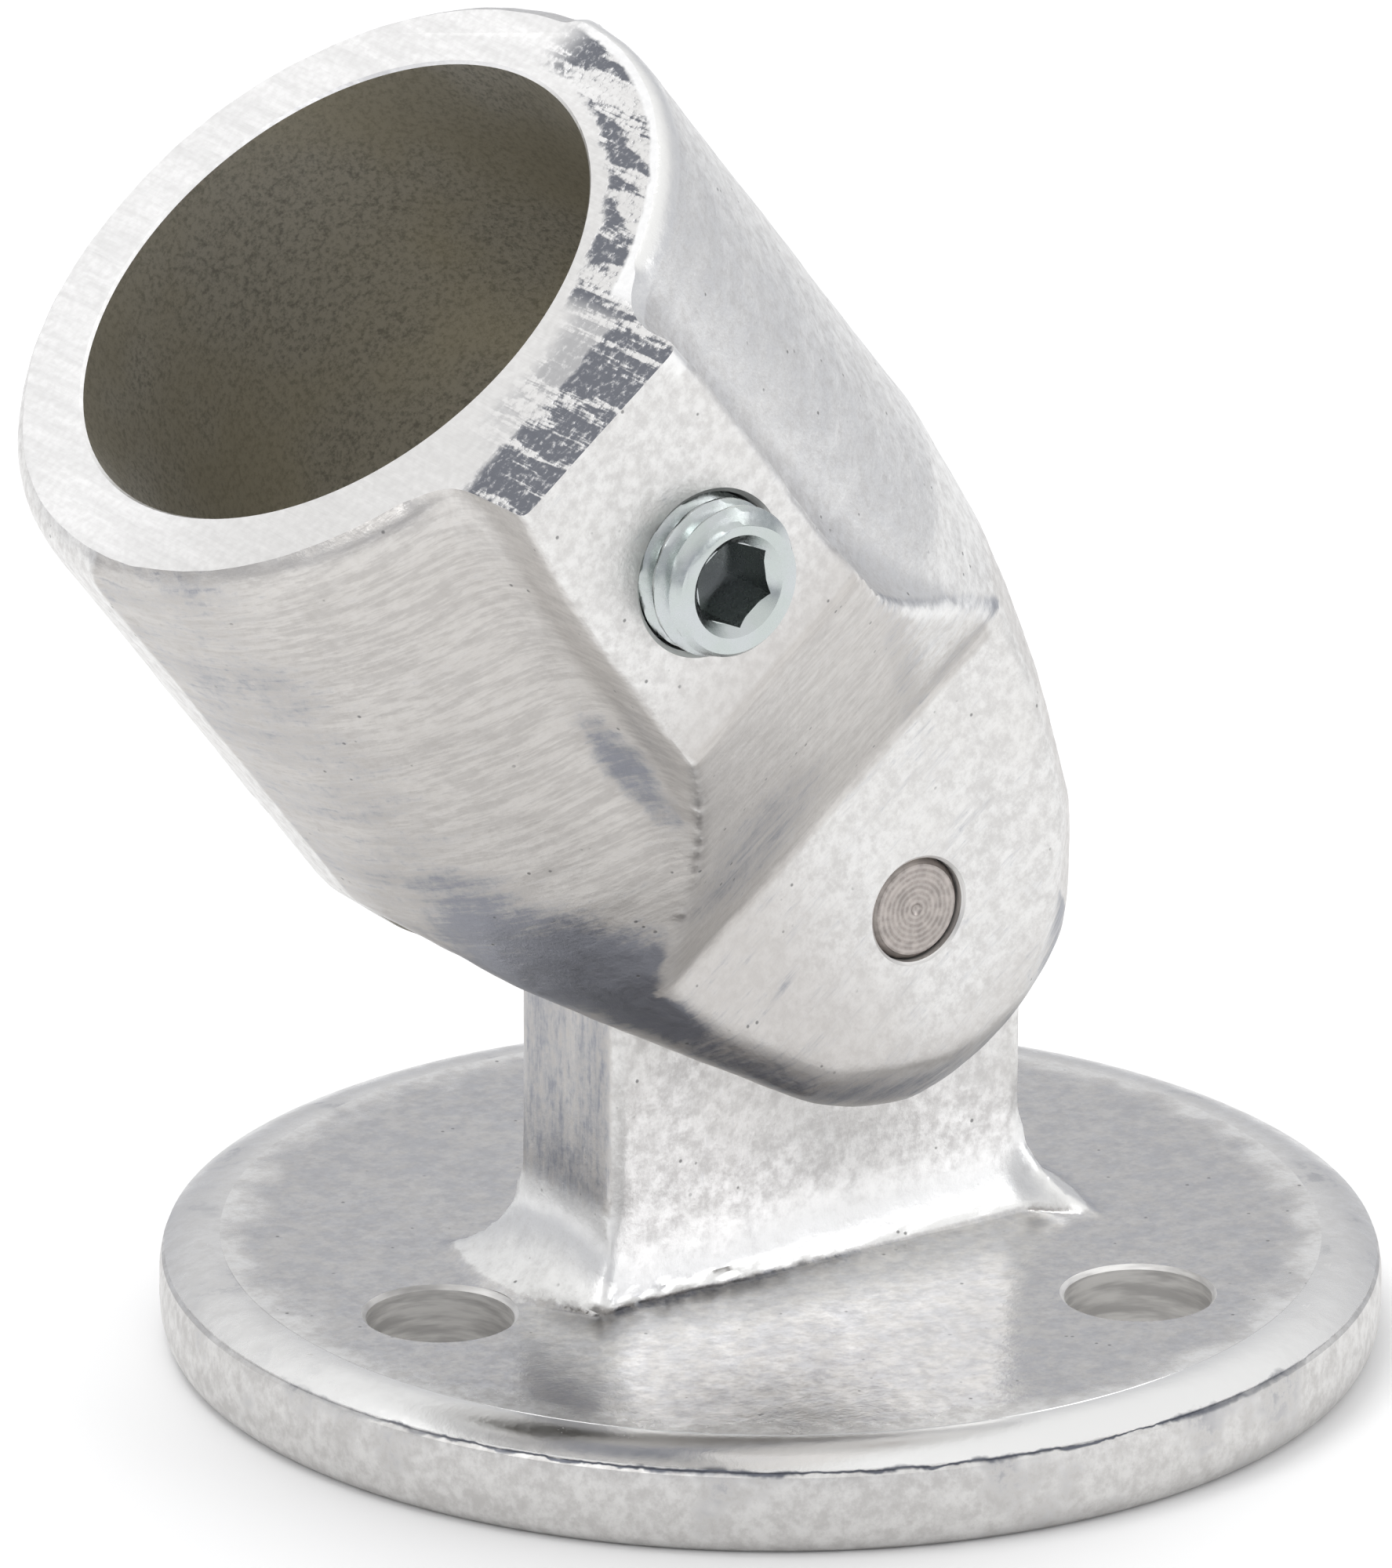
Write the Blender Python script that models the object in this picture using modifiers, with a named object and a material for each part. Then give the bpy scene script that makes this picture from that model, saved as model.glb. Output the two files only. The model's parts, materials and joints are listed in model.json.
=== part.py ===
"""Swivel stanchion base: a round flange with an upright tongue, and a pipe socket that swings on a pin.

The flange's underside is the XY plane and its centre is the origin. The socket swings in the XZ plane
about the pivot pin, which lies along Y. The set screw faces -Y.
"""
import math

import bmesh
import bpy
from mathutils import Matrix, Vector

MM = 0.001

# Flange (base casting)
FLANGE_RADIUS = 36.85 * MM       # at mid height, where the two halves of the mould meet
FLANGE_THICKNESS = 6.4 * MM
FLANGE_FLAT_RADIUS = 33.4 * MM   # where the flat top turns into the rounded rim
RIM_HEIGHT = 5.5 * MM            # crease between the rounded rim and the side
SIDE_DRAFT = 0.25 * MM           # the side is this much narrower at the crease and at the bottom
BOTTOM_EDGE = 0.4 * MM
FIXING_COUNT = 3
FIXING_CIRCLE_RADIUS = 24.2 * MM
FIXING_HOLE_RADIUS = 4.45 * MM

# Tongue (base casting)
TONGUE_HALF_LENGTH = 15.3 * MM   # also the radius of its round top
TONGUE_HALF_THICKNESS = 5.0 * MM
TONGUE_EDGE_RADIUS = 0.9 * MM
FOOT_FILLET = 2.4 * MM

# Pivot
PIVOT_HEIGHT = 31.6 * MM
TILT = math.radians(37.7)        # lean of the socket from upright, towards -X
PIN_RADIUS = 3.175 * MM
PIN_HOLE_RADIUS = 3.25 * MM
PIN_RECESS = 0.25 * MM
PIN_CHAMFER = 0.55 * MM

# Socket casting, measured along the tube's axis from the pivot
MOUTH = 52.0 * MM
BORE_RADIUS = 17.2 * MM
BORE_FLOOR = 20.0 * MM
TUBE_RADIUS = 22.5 * MM          # down to the bore's floor
TAPER_RADIUS = 66.0 * MM         # the body curves inwards below the bore's floor
TAPER_END = -9.0 * MM
END_CHAMFER = 5.0 * MM           # under the end of the taper
MOUTH_EDGE = 0.9 * MM
FORK_HALF_WIDTH = 15.0 * MM      # the ears' outer flats, at +Y and -Y
SLOT_HALF_WIDTH = 5.25 * MM
SLOT_DEPTH = 16.0 * MM
EAR_RADIUS = 13.4 * MM
EAR_SHOULDER = Vector((20.0, 0, 12.5)) * MM
FORK_TOP = 23.0 * MM             # where the fork is as wide as the tube
RAMP_FOOT = 10.5 * MM            # where the ear's flat starts to climb to the boss
RAMP_TOP = 30.5 * MM             # where the climb reaches the boss's flat

# Boss for the set screw
BOSS_HEIGHT = 28.3 * MM          # from the tube's axis to the boss's flat
BOSS_HALF_WIDTH = 7.2 * MM
BOSS_FLARE = 1.6 * MM            # extra half width where it meets the tube
BOSS_OFFSET = -1.0 * MM          # the boss sits this far off the middle, towards the lower side

# Set screw
SCREW_RADIUS = 4.76 * MM
SCREW_LENGTH = 12.7 * MM
SCREW_HEIGHT = 39.2 * MM         # along the tube's axis from the pivot
SCREW_STAND_OUT = 2.9 * MM
SCREW_CHAMFER = 0.8 * MM
TAPPED_HOLE_RADIUS = 4.84 * MM
KEY_ACROSS_FLATS = 4.76 * MM
KEY_DEPTH = 5.0 * MM
CUP_RADIUS = 2.6 * MM
CUP_DEPTH = 1.0 * MM

PAST = 4.0 * MM                  # how far a cutter runs past the face that it cuts
OVERLAP = 1.0 * MM               # how far joined solids run into each other
SKIM = 0.05 * MM                 # keeps two joined faces out of one plane

# Facets
FLANGE_STEPS = 80
TUBE_STEPS = 72
HOLE_SIDES = 40
ROUND_END_POINTS = 25
TAPER_POINTS = 6
CORNER_POINTS = 5
FILLET_STEPS = 4


def clear_scene():
    for obj in list(bpy.data.objects):
        bpy.data.objects.remove(obj, do_unlink=True)


def new_collection(name):
    collection = bpy.data.collections.new(name)
    bpy.context.scene.collection.children.link(collection)
    return collection


def material(name, color, roughness, metallic):
    mat = bpy.data.materials.new(name)
    mat.use_nodes = True
    shader = mat.node_tree.nodes["Principled BSDF"]
    shader.inputs["Base Color"].default_value = (*color, 1.0)
    shader.inputs["Roughness"].default_value = roughness
    shader.inputs["Metallic"].default_value = metallic
    return mat


def add_object(name, mesh, collection):
    obj = bpy.data.objects.new(name, mesh)
    collection.objects.link(obj)
    return obj


def as_mesh(obj):
    """Replace a curve or a modified object by its evaluated mesh, with loose caps welded."""
    bpy.context.view_layer.update()
    evaluated = obj.evaluated_get(bpy.context.evaluated_depsgraph_get())
    mesh = bpy.data.meshes.new_from_object(evaluated)
    bm = bmesh.new()
    bm.from_mesh(mesh)
    bmesh.ops.remove_doubles(bm, verts=bm.verts, dist=1e-6)
    bm.to_mesh(mesh)
    bm.free()
    name = obj.name
    new = add_object(name + "_mesh", mesh, obj.users_collection[0])
    new.matrix_world = obj.matrix_world
    new.parent = obj.parent
    bpy.data.objects.remove(obj, do_unlink=True)
    new.name = name
    return new


def turned(name, profile, steps, collection):
    """A turned solid about Z: the profile is (radius, height), down the outer side."""
    mesh = bpy.data.meshes.new(name)
    points = [(r, 0, z) for r, z in profile]
    mesh.from_pydata(points, [(i, i + 1) for i in range(len(points) - 1)], [])
    obj = add_object(name, mesh, collection)
    screw = obj.modifiers.new("Turn", "SCREW")
    screw.axis = "Z"
    screw.steps = steps
    screw.render_steps = steps
    screw.use_merge_vertices = True
    screw.merge_threshold = 1e-6
    screw.use_smooth_shade = True
    return obj


def extruded(name, outline, half_depth, collection):
    """A flat outline in the local XZ plane, extruded along Y to both sides."""
    curve = bpy.data.curves.new(name, "CURVE")
    curve.dimensions = "2D"
    curve.fill_mode = "BOTH"
    curve.extrude = half_depth
    spline = curve.splines.new("POLY")
    spline.points.add(len(outline) - 1)
    for point, (x, z) in zip(spline.points, outline):
        point.co = (x, z, 0, 1)
    spline.use_cyclic_u = True
    obj = add_object(name, curve, collection)
    obj.rotation_euler = (math.pi / 2, 0, 0)
    return as_mesh(obj)


def cylinder(name, radius, depth, centre, axis, collection, sides=HOLE_SIDES):
    bpy.ops.mesh.primitive_cylinder_add(vertices=sides, radius=radius, depth=depth, location=centre)
    obj = bpy.context.object
    obj.name = name
    obj.rotation_euler = Vector(axis).to_track_quat("Z", "Y").to_euler()
    for old in obj.users_collection:
        old.objects.unlink(obj)
    collection.objects.link(obj)
    return obj


def box(name, low, high, collection):
    bpy.ops.mesh.primitive_cube_add(size=1.0)
    obj = bpy.context.object
    obj.name = name
    size = Vector(high) - Vector(low)
    centre = (Vector(high) + Vector(low)) / 2
    obj.data.transform(Matrix.Translation(centre) @ Matrix.Diagonal((*size, 1.0)))
    for old in obj.users_collection:
        old.objects.unlink(obj)
    collection.objects.link(obj)
    return obj


def bevel(obj, width, segments):
    mod = obj.modifiers.new("Edges", "BEVEL")
    mod.width = width
    mod.segments = segments
    mod.limit_method = "ANGLE"
    mod.angle_limit = math.radians(40)


def combine(obj, other, operation):
    """Boolean with a helper object, which is kept out of the part."""
    mod = obj.modifiers.new(other.name, "BOOLEAN")
    mod.operation = operation
    mod.object = other
    mod.solver = "EXACT"
    other.hide_render = True
    other.display_type = "WIRE"


def finish(obj, mat, crease_degrees=35):
    obj.data.materials.clear()
    obj.data.materials.append(mat)
    obj.data.shade_smooth()
    obj.data.set_sharp_from_angle(angle=math.radians(crease_degrees))


def arc(centre, radius, start, end, count):
    """Points on an arc, by angle in degrees from the first axis."""
    angles = [math.radians(start + (end - start) * i / (count - 1)) for i in range(count)]
    return [(centre[0] + radius * math.cos(a), centre[1] + radius * math.sin(a)) for a in angles]


def flange_profile():
    """Flat top, rounded rim down to the crease, side drafted both ways, small bottom edge."""
    reach = FLANGE_RADIUS - SIDE_DRAFT - FLANGE_FLAT_RADIUS
    drop = FLANGE_THICKNESS - RIM_HEIGHT
    radius = (reach ** 2 + drop ** 2) / (2 * drop)
    sweep = math.degrees(math.asin(reach / radius))
    rim = arc((FLANGE_FLAT_RADIUS, FLANGE_THICKNESS - radius), radius, 90, 90 - sweep, CORNER_POINTS)
    side = [(FLANGE_RADIUS, RIM_HEIGHT / 2), (FLANGE_RADIUS - SIDE_DRAFT, BOTTOM_EDGE)]
    base = [(FLANGE_RADIUS - SIDE_DRAFT - BOTTOM_EDGE, 0), (0, 0)]
    return [(0, FLANGE_THICKNESS)] + rim + side + base


def rounded_rectangle(half_x, half_y, radius, count):
    """Corner points of a rounded rectangle, counterclockwise, with count points a corner."""
    points = []
    for corner, (sx, sy) in enumerate(((1, 1), (-1, 1), (-1, -1), (1, -1))):
        centre = (sx * (half_x - radius), sy * (half_y - radius))
        points += arc(centre, radius, 90 * corner, 90 * corner + 90, count)
    return points


def foot_fillet(collection):
    """Concave fillet around the tongue's foot, as rings bridged from the flange up to the tongue."""
    bm = bmesh.new()
    rings = [(FOOT_FILLET, FLANGE_THICKNESS - OVERLAP)]
    for step in range(FILLET_STEPS):
        angle = math.pi / 2 * step / FILLET_STEPS
        spread = FOOT_FILLET * (1 - math.sin(angle))
        rings.append((spread, FLANGE_THICKNESS + SKIM + FOOT_FILLET * (1 - math.cos(angle))))
    rings.append((-OVERLAP / 2, rings[-1][1] + OVERLAP))
    loops = []
    for spread, height in rings:
        corner = max(TONGUE_EDGE_RADIUS + spread, TONGUE_EDGE_RADIUS / 2)
        outline = rounded_rectangle(TONGUE_HALF_LENGTH + spread, TONGUE_HALF_THICKNESS + spread, corner,
                                    CORNER_POINTS)
        verts = [bm.verts.new((x, y, height)) for x, y in outline]
        loops.append([bm.edges.new((verts[i], verts[i - 1])) for i in range(len(verts))])
    for lower, upper in zip(loops, loops[1:]):
        bmesh.ops.bridge_loops(bm, edges=lower + upper)
    bmesh.ops.contextual_create(bm, geom=loops[0])
    bmesh.ops.contextual_create(bm, geom=loops[-1])
    bmesh.ops.recalc_face_normals(bm, faces=bm.faces)
    mesh = bpy.data.meshes.new("foot_fillet")
    bm.to_mesh(mesh)
    bm.free()
    return add_object("foot_fillet", mesh, collection)


def build_base_flange(parts, cutters, mat):
    flange = turned("base_flange", flange_profile(), FLANGE_STEPS, parts)
    foot = FLANGE_THICKNESS - 2 * OVERLAP
    outline = [(TONGUE_HALF_LENGTH, foot)]
    outline += arc((0, PIVOT_HEIGHT), TONGUE_HALF_LENGTH, 0, 180, ROUND_END_POINTS)
    outline.append((-TONGUE_HALF_LENGTH, foot))
    tongue = extruded("tongue", outline, TONGUE_HALF_THICKNESS, cutters)
    bevel(tongue, TONGUE_EDGE_RADIUS, 2)
    combine(flange, foot_fillet(cutters), "UNION")
    combine(flange, tongue, "UNION")
    for i in range(FIXING_COUNT):
        angle = math.pi + math.tau * i / FIXING_COUNT
        centre = (FIXING_CIRCLE_RADIUS * math.cos(angle), FIXING_CIRCLE_RADIUS * math.sin(angle), 0)
        depth = 2 * (FLANGE_THICKNESS + PAST)
        hole = cylinder(f"fixing_hole_{i + 1}", FIXING_HOLE_RADIUS, depth, centre, (0, 0, 1), cutters)
        combine(flange, hole, "DIFFERENCE")
    depth = 2 * (TONGUE_HALF_THICKNESS + PAST)
    hole = cylinder("tongue_pin_hole", PIN_HOLE_RADIUS, depth, (0, 0, PIVOT_HEIGHT), (0, 1, 0), cutters)
    combine(flange, hole, "DIFFERENCE")
    flange = as_mesh(flange)
    finish(flange, mat)
    return flange


def socket_profile():
    """Outer side of the tube and of the fork's body, from the mouth to below the pivot."""
    sweep = math.degrees(math.asin((BORE_FLOOR - TAPER_END) / TAPER_RADIUS))
    taper = arc((TUBE_RADIUS - TAPER_RADIUS, BORE_FLOOR), TAPER_RADIUS, 0, -sweep, TAPER_POINTS)
    end = (taper[-1][0] - END_CHAMFER, TAPER_END - END_CHAMFER)
    mouth = [(0, MOUTH), (TUBE_RADIUS - MOUTH_EDGE, MOUTH), (TUBE_RADIUS, MOUTH - MOUTH_EDGE)]
    return mouth + taper + [end, (0, end[1])]


def ear_outline():
    """The fork seen along the pin: a round end about the pivot, flaring up to the tube's width."""
    distance = math.hypot(EAR_SHOULDER.x, EAR_SHOULDER.z)
    tangent = math.degrees(math.atan2(EAR_SHOULDER.z, EAR_SHOULDER.x) - math.acos(EAR_RADIUS / distance))
    top = MOUTH + 2 * PAST
    side = TUBE_RADIUS + OVERLAP
    outline = [(-side, top), (-side, FORK_TOP), (-EAR_SHOULDER.x, EAR_SHOULDER.z)]
    outline += arc((0, 0), EAR_RADIUS, 180 - tangent, 360 + tangent, ROUND_END_POINTS)
    outline += [(EAR_SHOULDER.x, EAR_SHOULDER.z), (side, FORK_TOP), (side, top)]
    return outline


def build_swivel_socket(pivot, parts, cutters, mat):
    socket = turned("swivel_socket", socket_profile(), TUBE_STEPS, parts)
    half_foot = BOSS_HALF_WIDTH + BOSS_FLARE
    rib = box("boss", (BOSS_OFFSET - half_foot, -BOSS_HEIGHT, RAMP_FOOT),
              (BOSS_OFFSET + half_foot, -FORK_HALF_WIDTH, MOUTH - SKIM), cutters)
    for vert in rib.data.vertices:
        if vert.co.y < -BOSS_HEIGHT + SKIM:
            vert.co.x += BOSS_FLARE * (1 if vert.co.x < BOSS_OFFSET else -1)
    outline = extruded("ear_outline", ear_outline(), BOSS_HEIGHT + PAST, cutters)
    combine(socket, rib, "UNION")
    combine(socket, outline, "INTERSECT")
    rise = (BOSS_HEIGHT - FORK_HALF_WIDTH) / (RAMP_TOP - RAMP_FOOT)
    reach = BOSS_HEIGHT + 2 * PAST
    ramp_end = RAMP_FOOT + (reach - FORK_HALF_WIDTH) / rise
    for side, label in ((-1, "near"), (1, "far")):
        profile = [(side * FORK_HALF_WIDTH, -EAR_RADIUS - PAST), (side * FORK_HALF_WIDTH, RAMP_FOOT),
                   (side * reach, ramp_end), (side * reach, -EAR_RADIUS - PAST)]
        cutter = extruded(f"{label}_ramp", profile, TUBE_RADIUS + PAST, cutters)
        cutter.rotation_euler = (math.pi / 2, 0, math.pi / 2)
        combine(socket, cutter, "DIFFERENCE")
    slot = box("fork_slot", (-TUBE_RADIUS - PAST, -SLOT_HALF_WIDTH, -EAR_RADIUS - PAST),
               (TUBE_RADIUS + PAST, SLOT_HALF_WIDTH, SLOT_DEPTH), cutters)
    bore_depth = MOUTH + PAST - BORE_FLOOR
    bore_centre = (0, 0, BORE_FLOOR + bore_depth / 2)
    bore = cylinder("bore", BORE_RADIUS, bore_depth, bore_centre, (0, 0, 1), cutters, TUBE_STEPS)
    pin_depth = 2 * (FORK_HALF_WIDTH + PAST)
    pin_hole = cylinder("ear_pin_hole", PIN_HOLE_RADIUS, pin_depth, (0, 0, 0), (0, 1, 0), cutters)
    tapped_depth = BOSS_HEIGHT + PAST
    tapped = cylinder("tapped_hole", TAPPED_HOLE_RADIUS, tapped_depth,
                      (BOSS_OFFSET, -tapped_depth / 2, SCREW_HEIGHT), (0, -1, 0), cutters)
    for cutter in (slot, bore, pin_hole, tapped):
        combine(socket, cutter, "DIFFERENCE")
    for helper in [m.object for m in socket.modifiers if m.type == "BOOLEAN"]:
        helper.parent = pivot
    socket.parent = pivot
    finish(socket, mat)
    return socket


def build_pivot_pin(parts, mat):
    half = FORK_HALF_WIDTH - PIN_RECESS
    profile = [(0, half), (PIN_RADIUS - PIN_CHAMFER, half), (PIN_RADIUS, half - PIN_CHAMFER),
               (PIN_RADIUS, PIN_CHAMFER - half), (PIN_RADIUS - PIN_CHAMFER, -half), (0, -half)]
    pin = turned("pivot_pin", profile, HOLE_SIDES, parts)
    pin.location = (0, 0, PIVOT_HEIGHT)
    pin.rotation_euler = (math.pi / 2, 0, 0)
    finish(pin, mat)
    return pin


def build_set_screw(pivot, parts, cutters, mat):
    """Turned along its own Z, which points out of the boss. Its origin is at its outer end."""
    profile = [(0, 0), (SCREW_RADIUS - SCREW_CHAMFER, 0), (SCREW_RADIUS, -SCREW_CHAMFER),
               (SCREW_RADIUS, SCREW_CHAMFER - SCREW_LENGTH), (SCREW_RADIUS - SCREW_CHAMFER, -SCREW_LENGTH),
               (CUP_RADIUS, -SCREW_LENGTH), (0, CUP_DEPTH - SCREW_LENGTH)]
    screw = turned("set_screw", profile, HOLE_SIDES, parts)
    key_radius = KEY_ACROSS_FLATS / 2 / math.cos(math.radians(30))
    key = cylinder("key_socket", key_radius, 2 * KEY_DEPTH, (0, 0, 0), (0, 0, 1), cutters, 6)
    combine(screw, key, "DIFFERENCE")
    for obj in (screw, key):
        obj.parent = pivot
        obj.location = (BOSS_OFFSET, -BOSS_HEIGHT - SCREW_STAND_OUT, SCREW_HEIGHT)
        obj.rotation_euler = (math.pi / 2, 0, 0)
    finish(screw, mat)
    return screw


def main():
    clear_scene()
    parts = new_collection("swivel_stanchion_base")
    cutters = new_collection("cutters")
    aluminium = material("cast_aluminium", (0.78, 0.77, 0.76), 0.42, 1.0)
    steel = material("turned_steel", (0.55, 0.51, 0.49), 0.38, 1.0)
    zinc = material("zinc_plate", (0.74, 0.78, 0.77), 0.30, 1.0)

    pivot = bpy.data.objects.new("socket_pivot", None)
    pivot.location = (0, 0, PIVOT_HEIGHT)
    pivot.rotation_euler = (0, -TILT, 0)
    parts.objects.link(pivot)

    build_base_flange(parts, cutters, aluminium)
    build_swivel_socket(pivot, parts, cutters, aluminium)
    build_pivot_pin(parts, steel)
    build_set_screw(pivot, parts, cutters, zinc)


main()
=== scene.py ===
"""Swivel stanchion base: the finished look of the two castings, the pivot pin and the set screw."""
import json
import math

import bmesh
import bpy
import numpy as np
from bpy.props import FloatProperty, FloatVectorProperty, IntProperty, PointerProperty
from mathutils import Matrix, Vector, noise
from mathutils.kdtree import KDTree


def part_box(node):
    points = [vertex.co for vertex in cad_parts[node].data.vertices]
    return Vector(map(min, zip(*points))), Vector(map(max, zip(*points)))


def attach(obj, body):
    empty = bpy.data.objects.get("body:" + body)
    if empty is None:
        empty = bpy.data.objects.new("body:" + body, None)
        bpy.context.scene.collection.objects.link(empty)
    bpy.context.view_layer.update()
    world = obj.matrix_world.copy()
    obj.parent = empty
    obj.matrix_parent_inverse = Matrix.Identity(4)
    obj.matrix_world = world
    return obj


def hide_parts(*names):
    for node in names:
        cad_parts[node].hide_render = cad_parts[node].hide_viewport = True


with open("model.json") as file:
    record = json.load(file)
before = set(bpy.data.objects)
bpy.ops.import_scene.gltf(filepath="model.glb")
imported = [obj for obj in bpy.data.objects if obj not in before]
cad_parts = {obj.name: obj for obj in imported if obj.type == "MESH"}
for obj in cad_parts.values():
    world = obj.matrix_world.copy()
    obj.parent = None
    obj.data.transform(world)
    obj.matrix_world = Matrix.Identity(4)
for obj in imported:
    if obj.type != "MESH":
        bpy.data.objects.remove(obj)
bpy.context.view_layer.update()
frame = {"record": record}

bl_info = {
    "name": "Swivel stanchion base",
    "version": (1, 0, 0),
    "blender": (4, 5, 0),
    "location": "3D View > Sidebar > Stanchion base",
    "description": "Builds a swivel stanchion base with its castings, pivot pin, set screw and studio",
    "category": "Object",
}

MM = 0.001
RECORD = frame["record"]
SWIVEL = next(j for j in RECORD["behaviour"]["joints"] if j["name"] == "socket_swivel")
MOUTH_MOUNT = next(m for m in RECORD["mounts"] if m["name"] == "socket_mouth")
PIVOT_HEIGHT = SWIVEL["pos_m"][2]
TUBE_AXIS = Vector(MOUTH_MOUNT["axis"])
TILT = math.atan2(-TUBE_AXIS.x, TUBE_AXIS.z)
MOUTH_HEIGHT = (Vector(MOUTH_MOUNT["pos_m"]) - Vector((0, 0, PIVOT_HEIGHT))).dot(TUBE_AXIS)
FLANGE_LOW, FLANGE_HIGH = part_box("base_flange")
PIN_LOW, PIN_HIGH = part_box("pivot_pin")
SCREW_LOW, SCREW_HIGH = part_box("set_screw")
TO_SOCKET = Matrix.Translation((0, 0, PIVOT_HEIGHT)) @ Matrix.Rotation(-TILT, 4, "Y")


def length(name, description, default, **more):
    """A size in metres, shown with its unit."""
    return FloatProperty(name=name, description=description, default=default, unit="LENGTH", precision=5,
                         **more)


def colour(name, description, default):
    return FloatVectorProperty(name=name, description=description, default=default, subtype="COLOR",
                               size=3, min=0.0, max=1.0)


class BaseCastingSizes(bpy.types.PropertyGroup):
    flange_radius: length("Flange radius", "Radius of the round flange at mid height", FLANGE_HIGH.y)
    flange_thickness: length("Flange thickness", "Height of the flange's flat top", 6.4 * MM)
    flat_radius: length("Flat radius", "Where the flat top turns into the rounded rim", 33.4 * MM)
    rim_height: length("Rim height", "Height of the crease under the rounded rim", 5.5 * MM)
    fixing_circle: length("Fixing circle radius", "Radius of the circle of fixing holes", 24.2 * MM)
    fixing_radius: length("Fixing hole radius", "Radius of each fixing hole", 4.45 * MM)
    fixing_count: IntProperty(name="Fixing holes", description="Number of fixing holes", default=3, min=1)
    tongue_half_length: length("Tongue half length", "Half the tongue's length, and the radius of its top",
                               15.3 * MM)
    tongue_half_thickness: length("Tongue half thickness", "Half the tongue's thickness", 5.0 * MM)
    foot_fillet: length("Foot fillet", "Height of the skirt at the tongue's foot", 6.2 * MM)
    pin_hole_radius: length("Pin hole radius", "Radius of the tongue's hole for the pivot pin", 3.25 * MM)
    grain: length("Skin mesh size", "Size of the quads on the cast skin", 0.38 * MM)


class SocketCastingSizes(bpy.types.PropertyGroup):
    mouth: length("Mouth height", "From the pivot to the mouth, along the tube", MOUTH_HEIGHT)
    tube_radius: length("Tube radius", "Outer radius of the pipe socket", 22.5 * MM)
    mouth_edge: length("Mouth edge", "Radius of the rounded edge of the mouth", 2.3 * MM)
    bore_radius: length("Bore radius", "Radius of the pipe bore", 17.2 * MM)
    bore_floor: length("Bore floor", "Height of the bore's floor above the pivot", 20.0 * MM)
    fork_half_width: length("Fork half width", "Half the distance over the two ears", 15.0 * MM)
    slot_half_width: length("Slot half width", "Half the width of the slot between the ears", 5.25 * MM)
    slot_depth: length("Slot depth", "Height of the slot's end above the pivot", 16.0 * MM)
    ear_radius: length("Ear radius", "Radius of the ears' round ends", 13.5 * MM)
    ramp_foot: length("Ramp foot", "Where the ear's flat starts to climb to the boss", 10.3 * MM)
    ramp_top: length("Ramp top", "Where the climb reaches the boss's flat", 30.6 * MM)
    boss_height: length("Boss height", "From the tube's axis to the boss's flat", 28.3 * MM)
    boss_fillet: length("Boss fillet", "Radius of the fillet between the boss and the tube", 5.5 * MM)
    pin_hole_radius: length("Pin hole radius", "Radius of the hole for the pivot pin", 3.25 * MM)
    tapped_radius: length("Tapped hole radius", "Radius of the hole for the set screw", 4.86 * MM)
    screw_height: length("Screw height", "Height of the set screw above the pivot", 39.2 * MM)
    screw_offset: length("Screw offset", "How far the set screw sits off the middle", -1.0 * MM)
    grain: length("Skin mesh size", "Size of the quads on the cast skin", 0.38 * MM)


class FastenerSizes(bpy.types.PropertyGroup):
    pin_radius: length("Pin radius", "Radius of the pivot pin", PIN_HIGH.x)
    pin_half_length: length("Pin half length", "Half the pivot pin's length", PIN_HIGH.y)
    pin_chamfer: length("Pin chamfer", "Chamfer at each end of the pin", 0.45 * MM)
    screw_radius: length("Screw radius", "Outer radius of the set screw's thread", 4.68 * MM)
    screw_length: length("Screw length", "Length of the set screw", SCREW_HIGH.y - SCREW_LOW.y)
    thread_pitch: length("Thread pitch", "Distance between the thread's turns", 1.5875 * MM)
    thread_depth: length("Thread depth", "Depth of the thread", 1.0 * MM)
    screw_stands_out: length("Screw stands out", "How far the set screw stands out of the boss", 2.9 * MM)
    key_across_flats: length("Key size", "Across the flats of the hexagon socket", 4.76 * MM)
    key_depth: length("Key depth", "Depth of the hexagon socket", 4.6 * MM)


class Finishes(bpy.types.PropertyGroup):
    cast_light: colour("Cast skin", "Bright part of the cast aluminium", (0.78, 0.775, 0.765))
    cast_dark: colour("Cast skin, dark", "Dark part of the cast aluminium's mottle", (0.62, 0.61, 0.60))
    # cast_dull also stands for painted shade and painted dark reflections, on the flange's flat top and low
    # on the socket's left side.
    cast_dull: colour("Cast skin, dull", "Cast aluminium dulled by oxide", (0.50, 0.475, 0.455))
    # The slate colour serves tarnishing, painted shade in the hollows, painted dark reflections and the
    # mouth's chatter marks.
    slate: colour("Tarnish", "Blue grey tarnish in the hollows", (0.20, 0.215, 0.26))
    bore: colour("Bore", "Oxidised inside of the bore", (0.54, 0.52, 0.47))
    steel: colour("Steel", "Turned end of the pivot pin", (0.37, 0.335, 0.315))
    zinc: colour("Zinc", "Zinc plate on the set screw", (0.56, 0.59, 0.60))


class StudioSettings(bpy.types.PropertyGroup):
    floor_colour: colour("Floor", "Colour of the plain floor", (0.93, 0.93, 0.93))
    floor_radius: length("Floor radius", "Radius of the round floor", 1.6)
    camera_lens: FloatProperty(name="Lens", description="Camera focal length in mm", default=549.85)


# ---------------------------------------------------------------- solids, in millimetres

def new_object(name, bm, slot=0):
    """The bmesh as an object with outward faces, every face in the given material slot."""
    bmesh.ops.recalc_face_normals(bm, faces=bm.faces)
    for face in bm.faces:
        face.material_index = slot
    mesh = bpy.data.meshes.new(name)
    bm.to_mesh(mesh)
    bm.free()
    obj = bpy.data.objects.new(name, mesh)
    bpy.context.scene.collection.objects.link(obj)
    for number in range(4):
        label = f"slot_{number}"
        mesh.materials.append(bpy.data.materials.get(label) or bpy.data.materials.new(label))
    return obj


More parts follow.
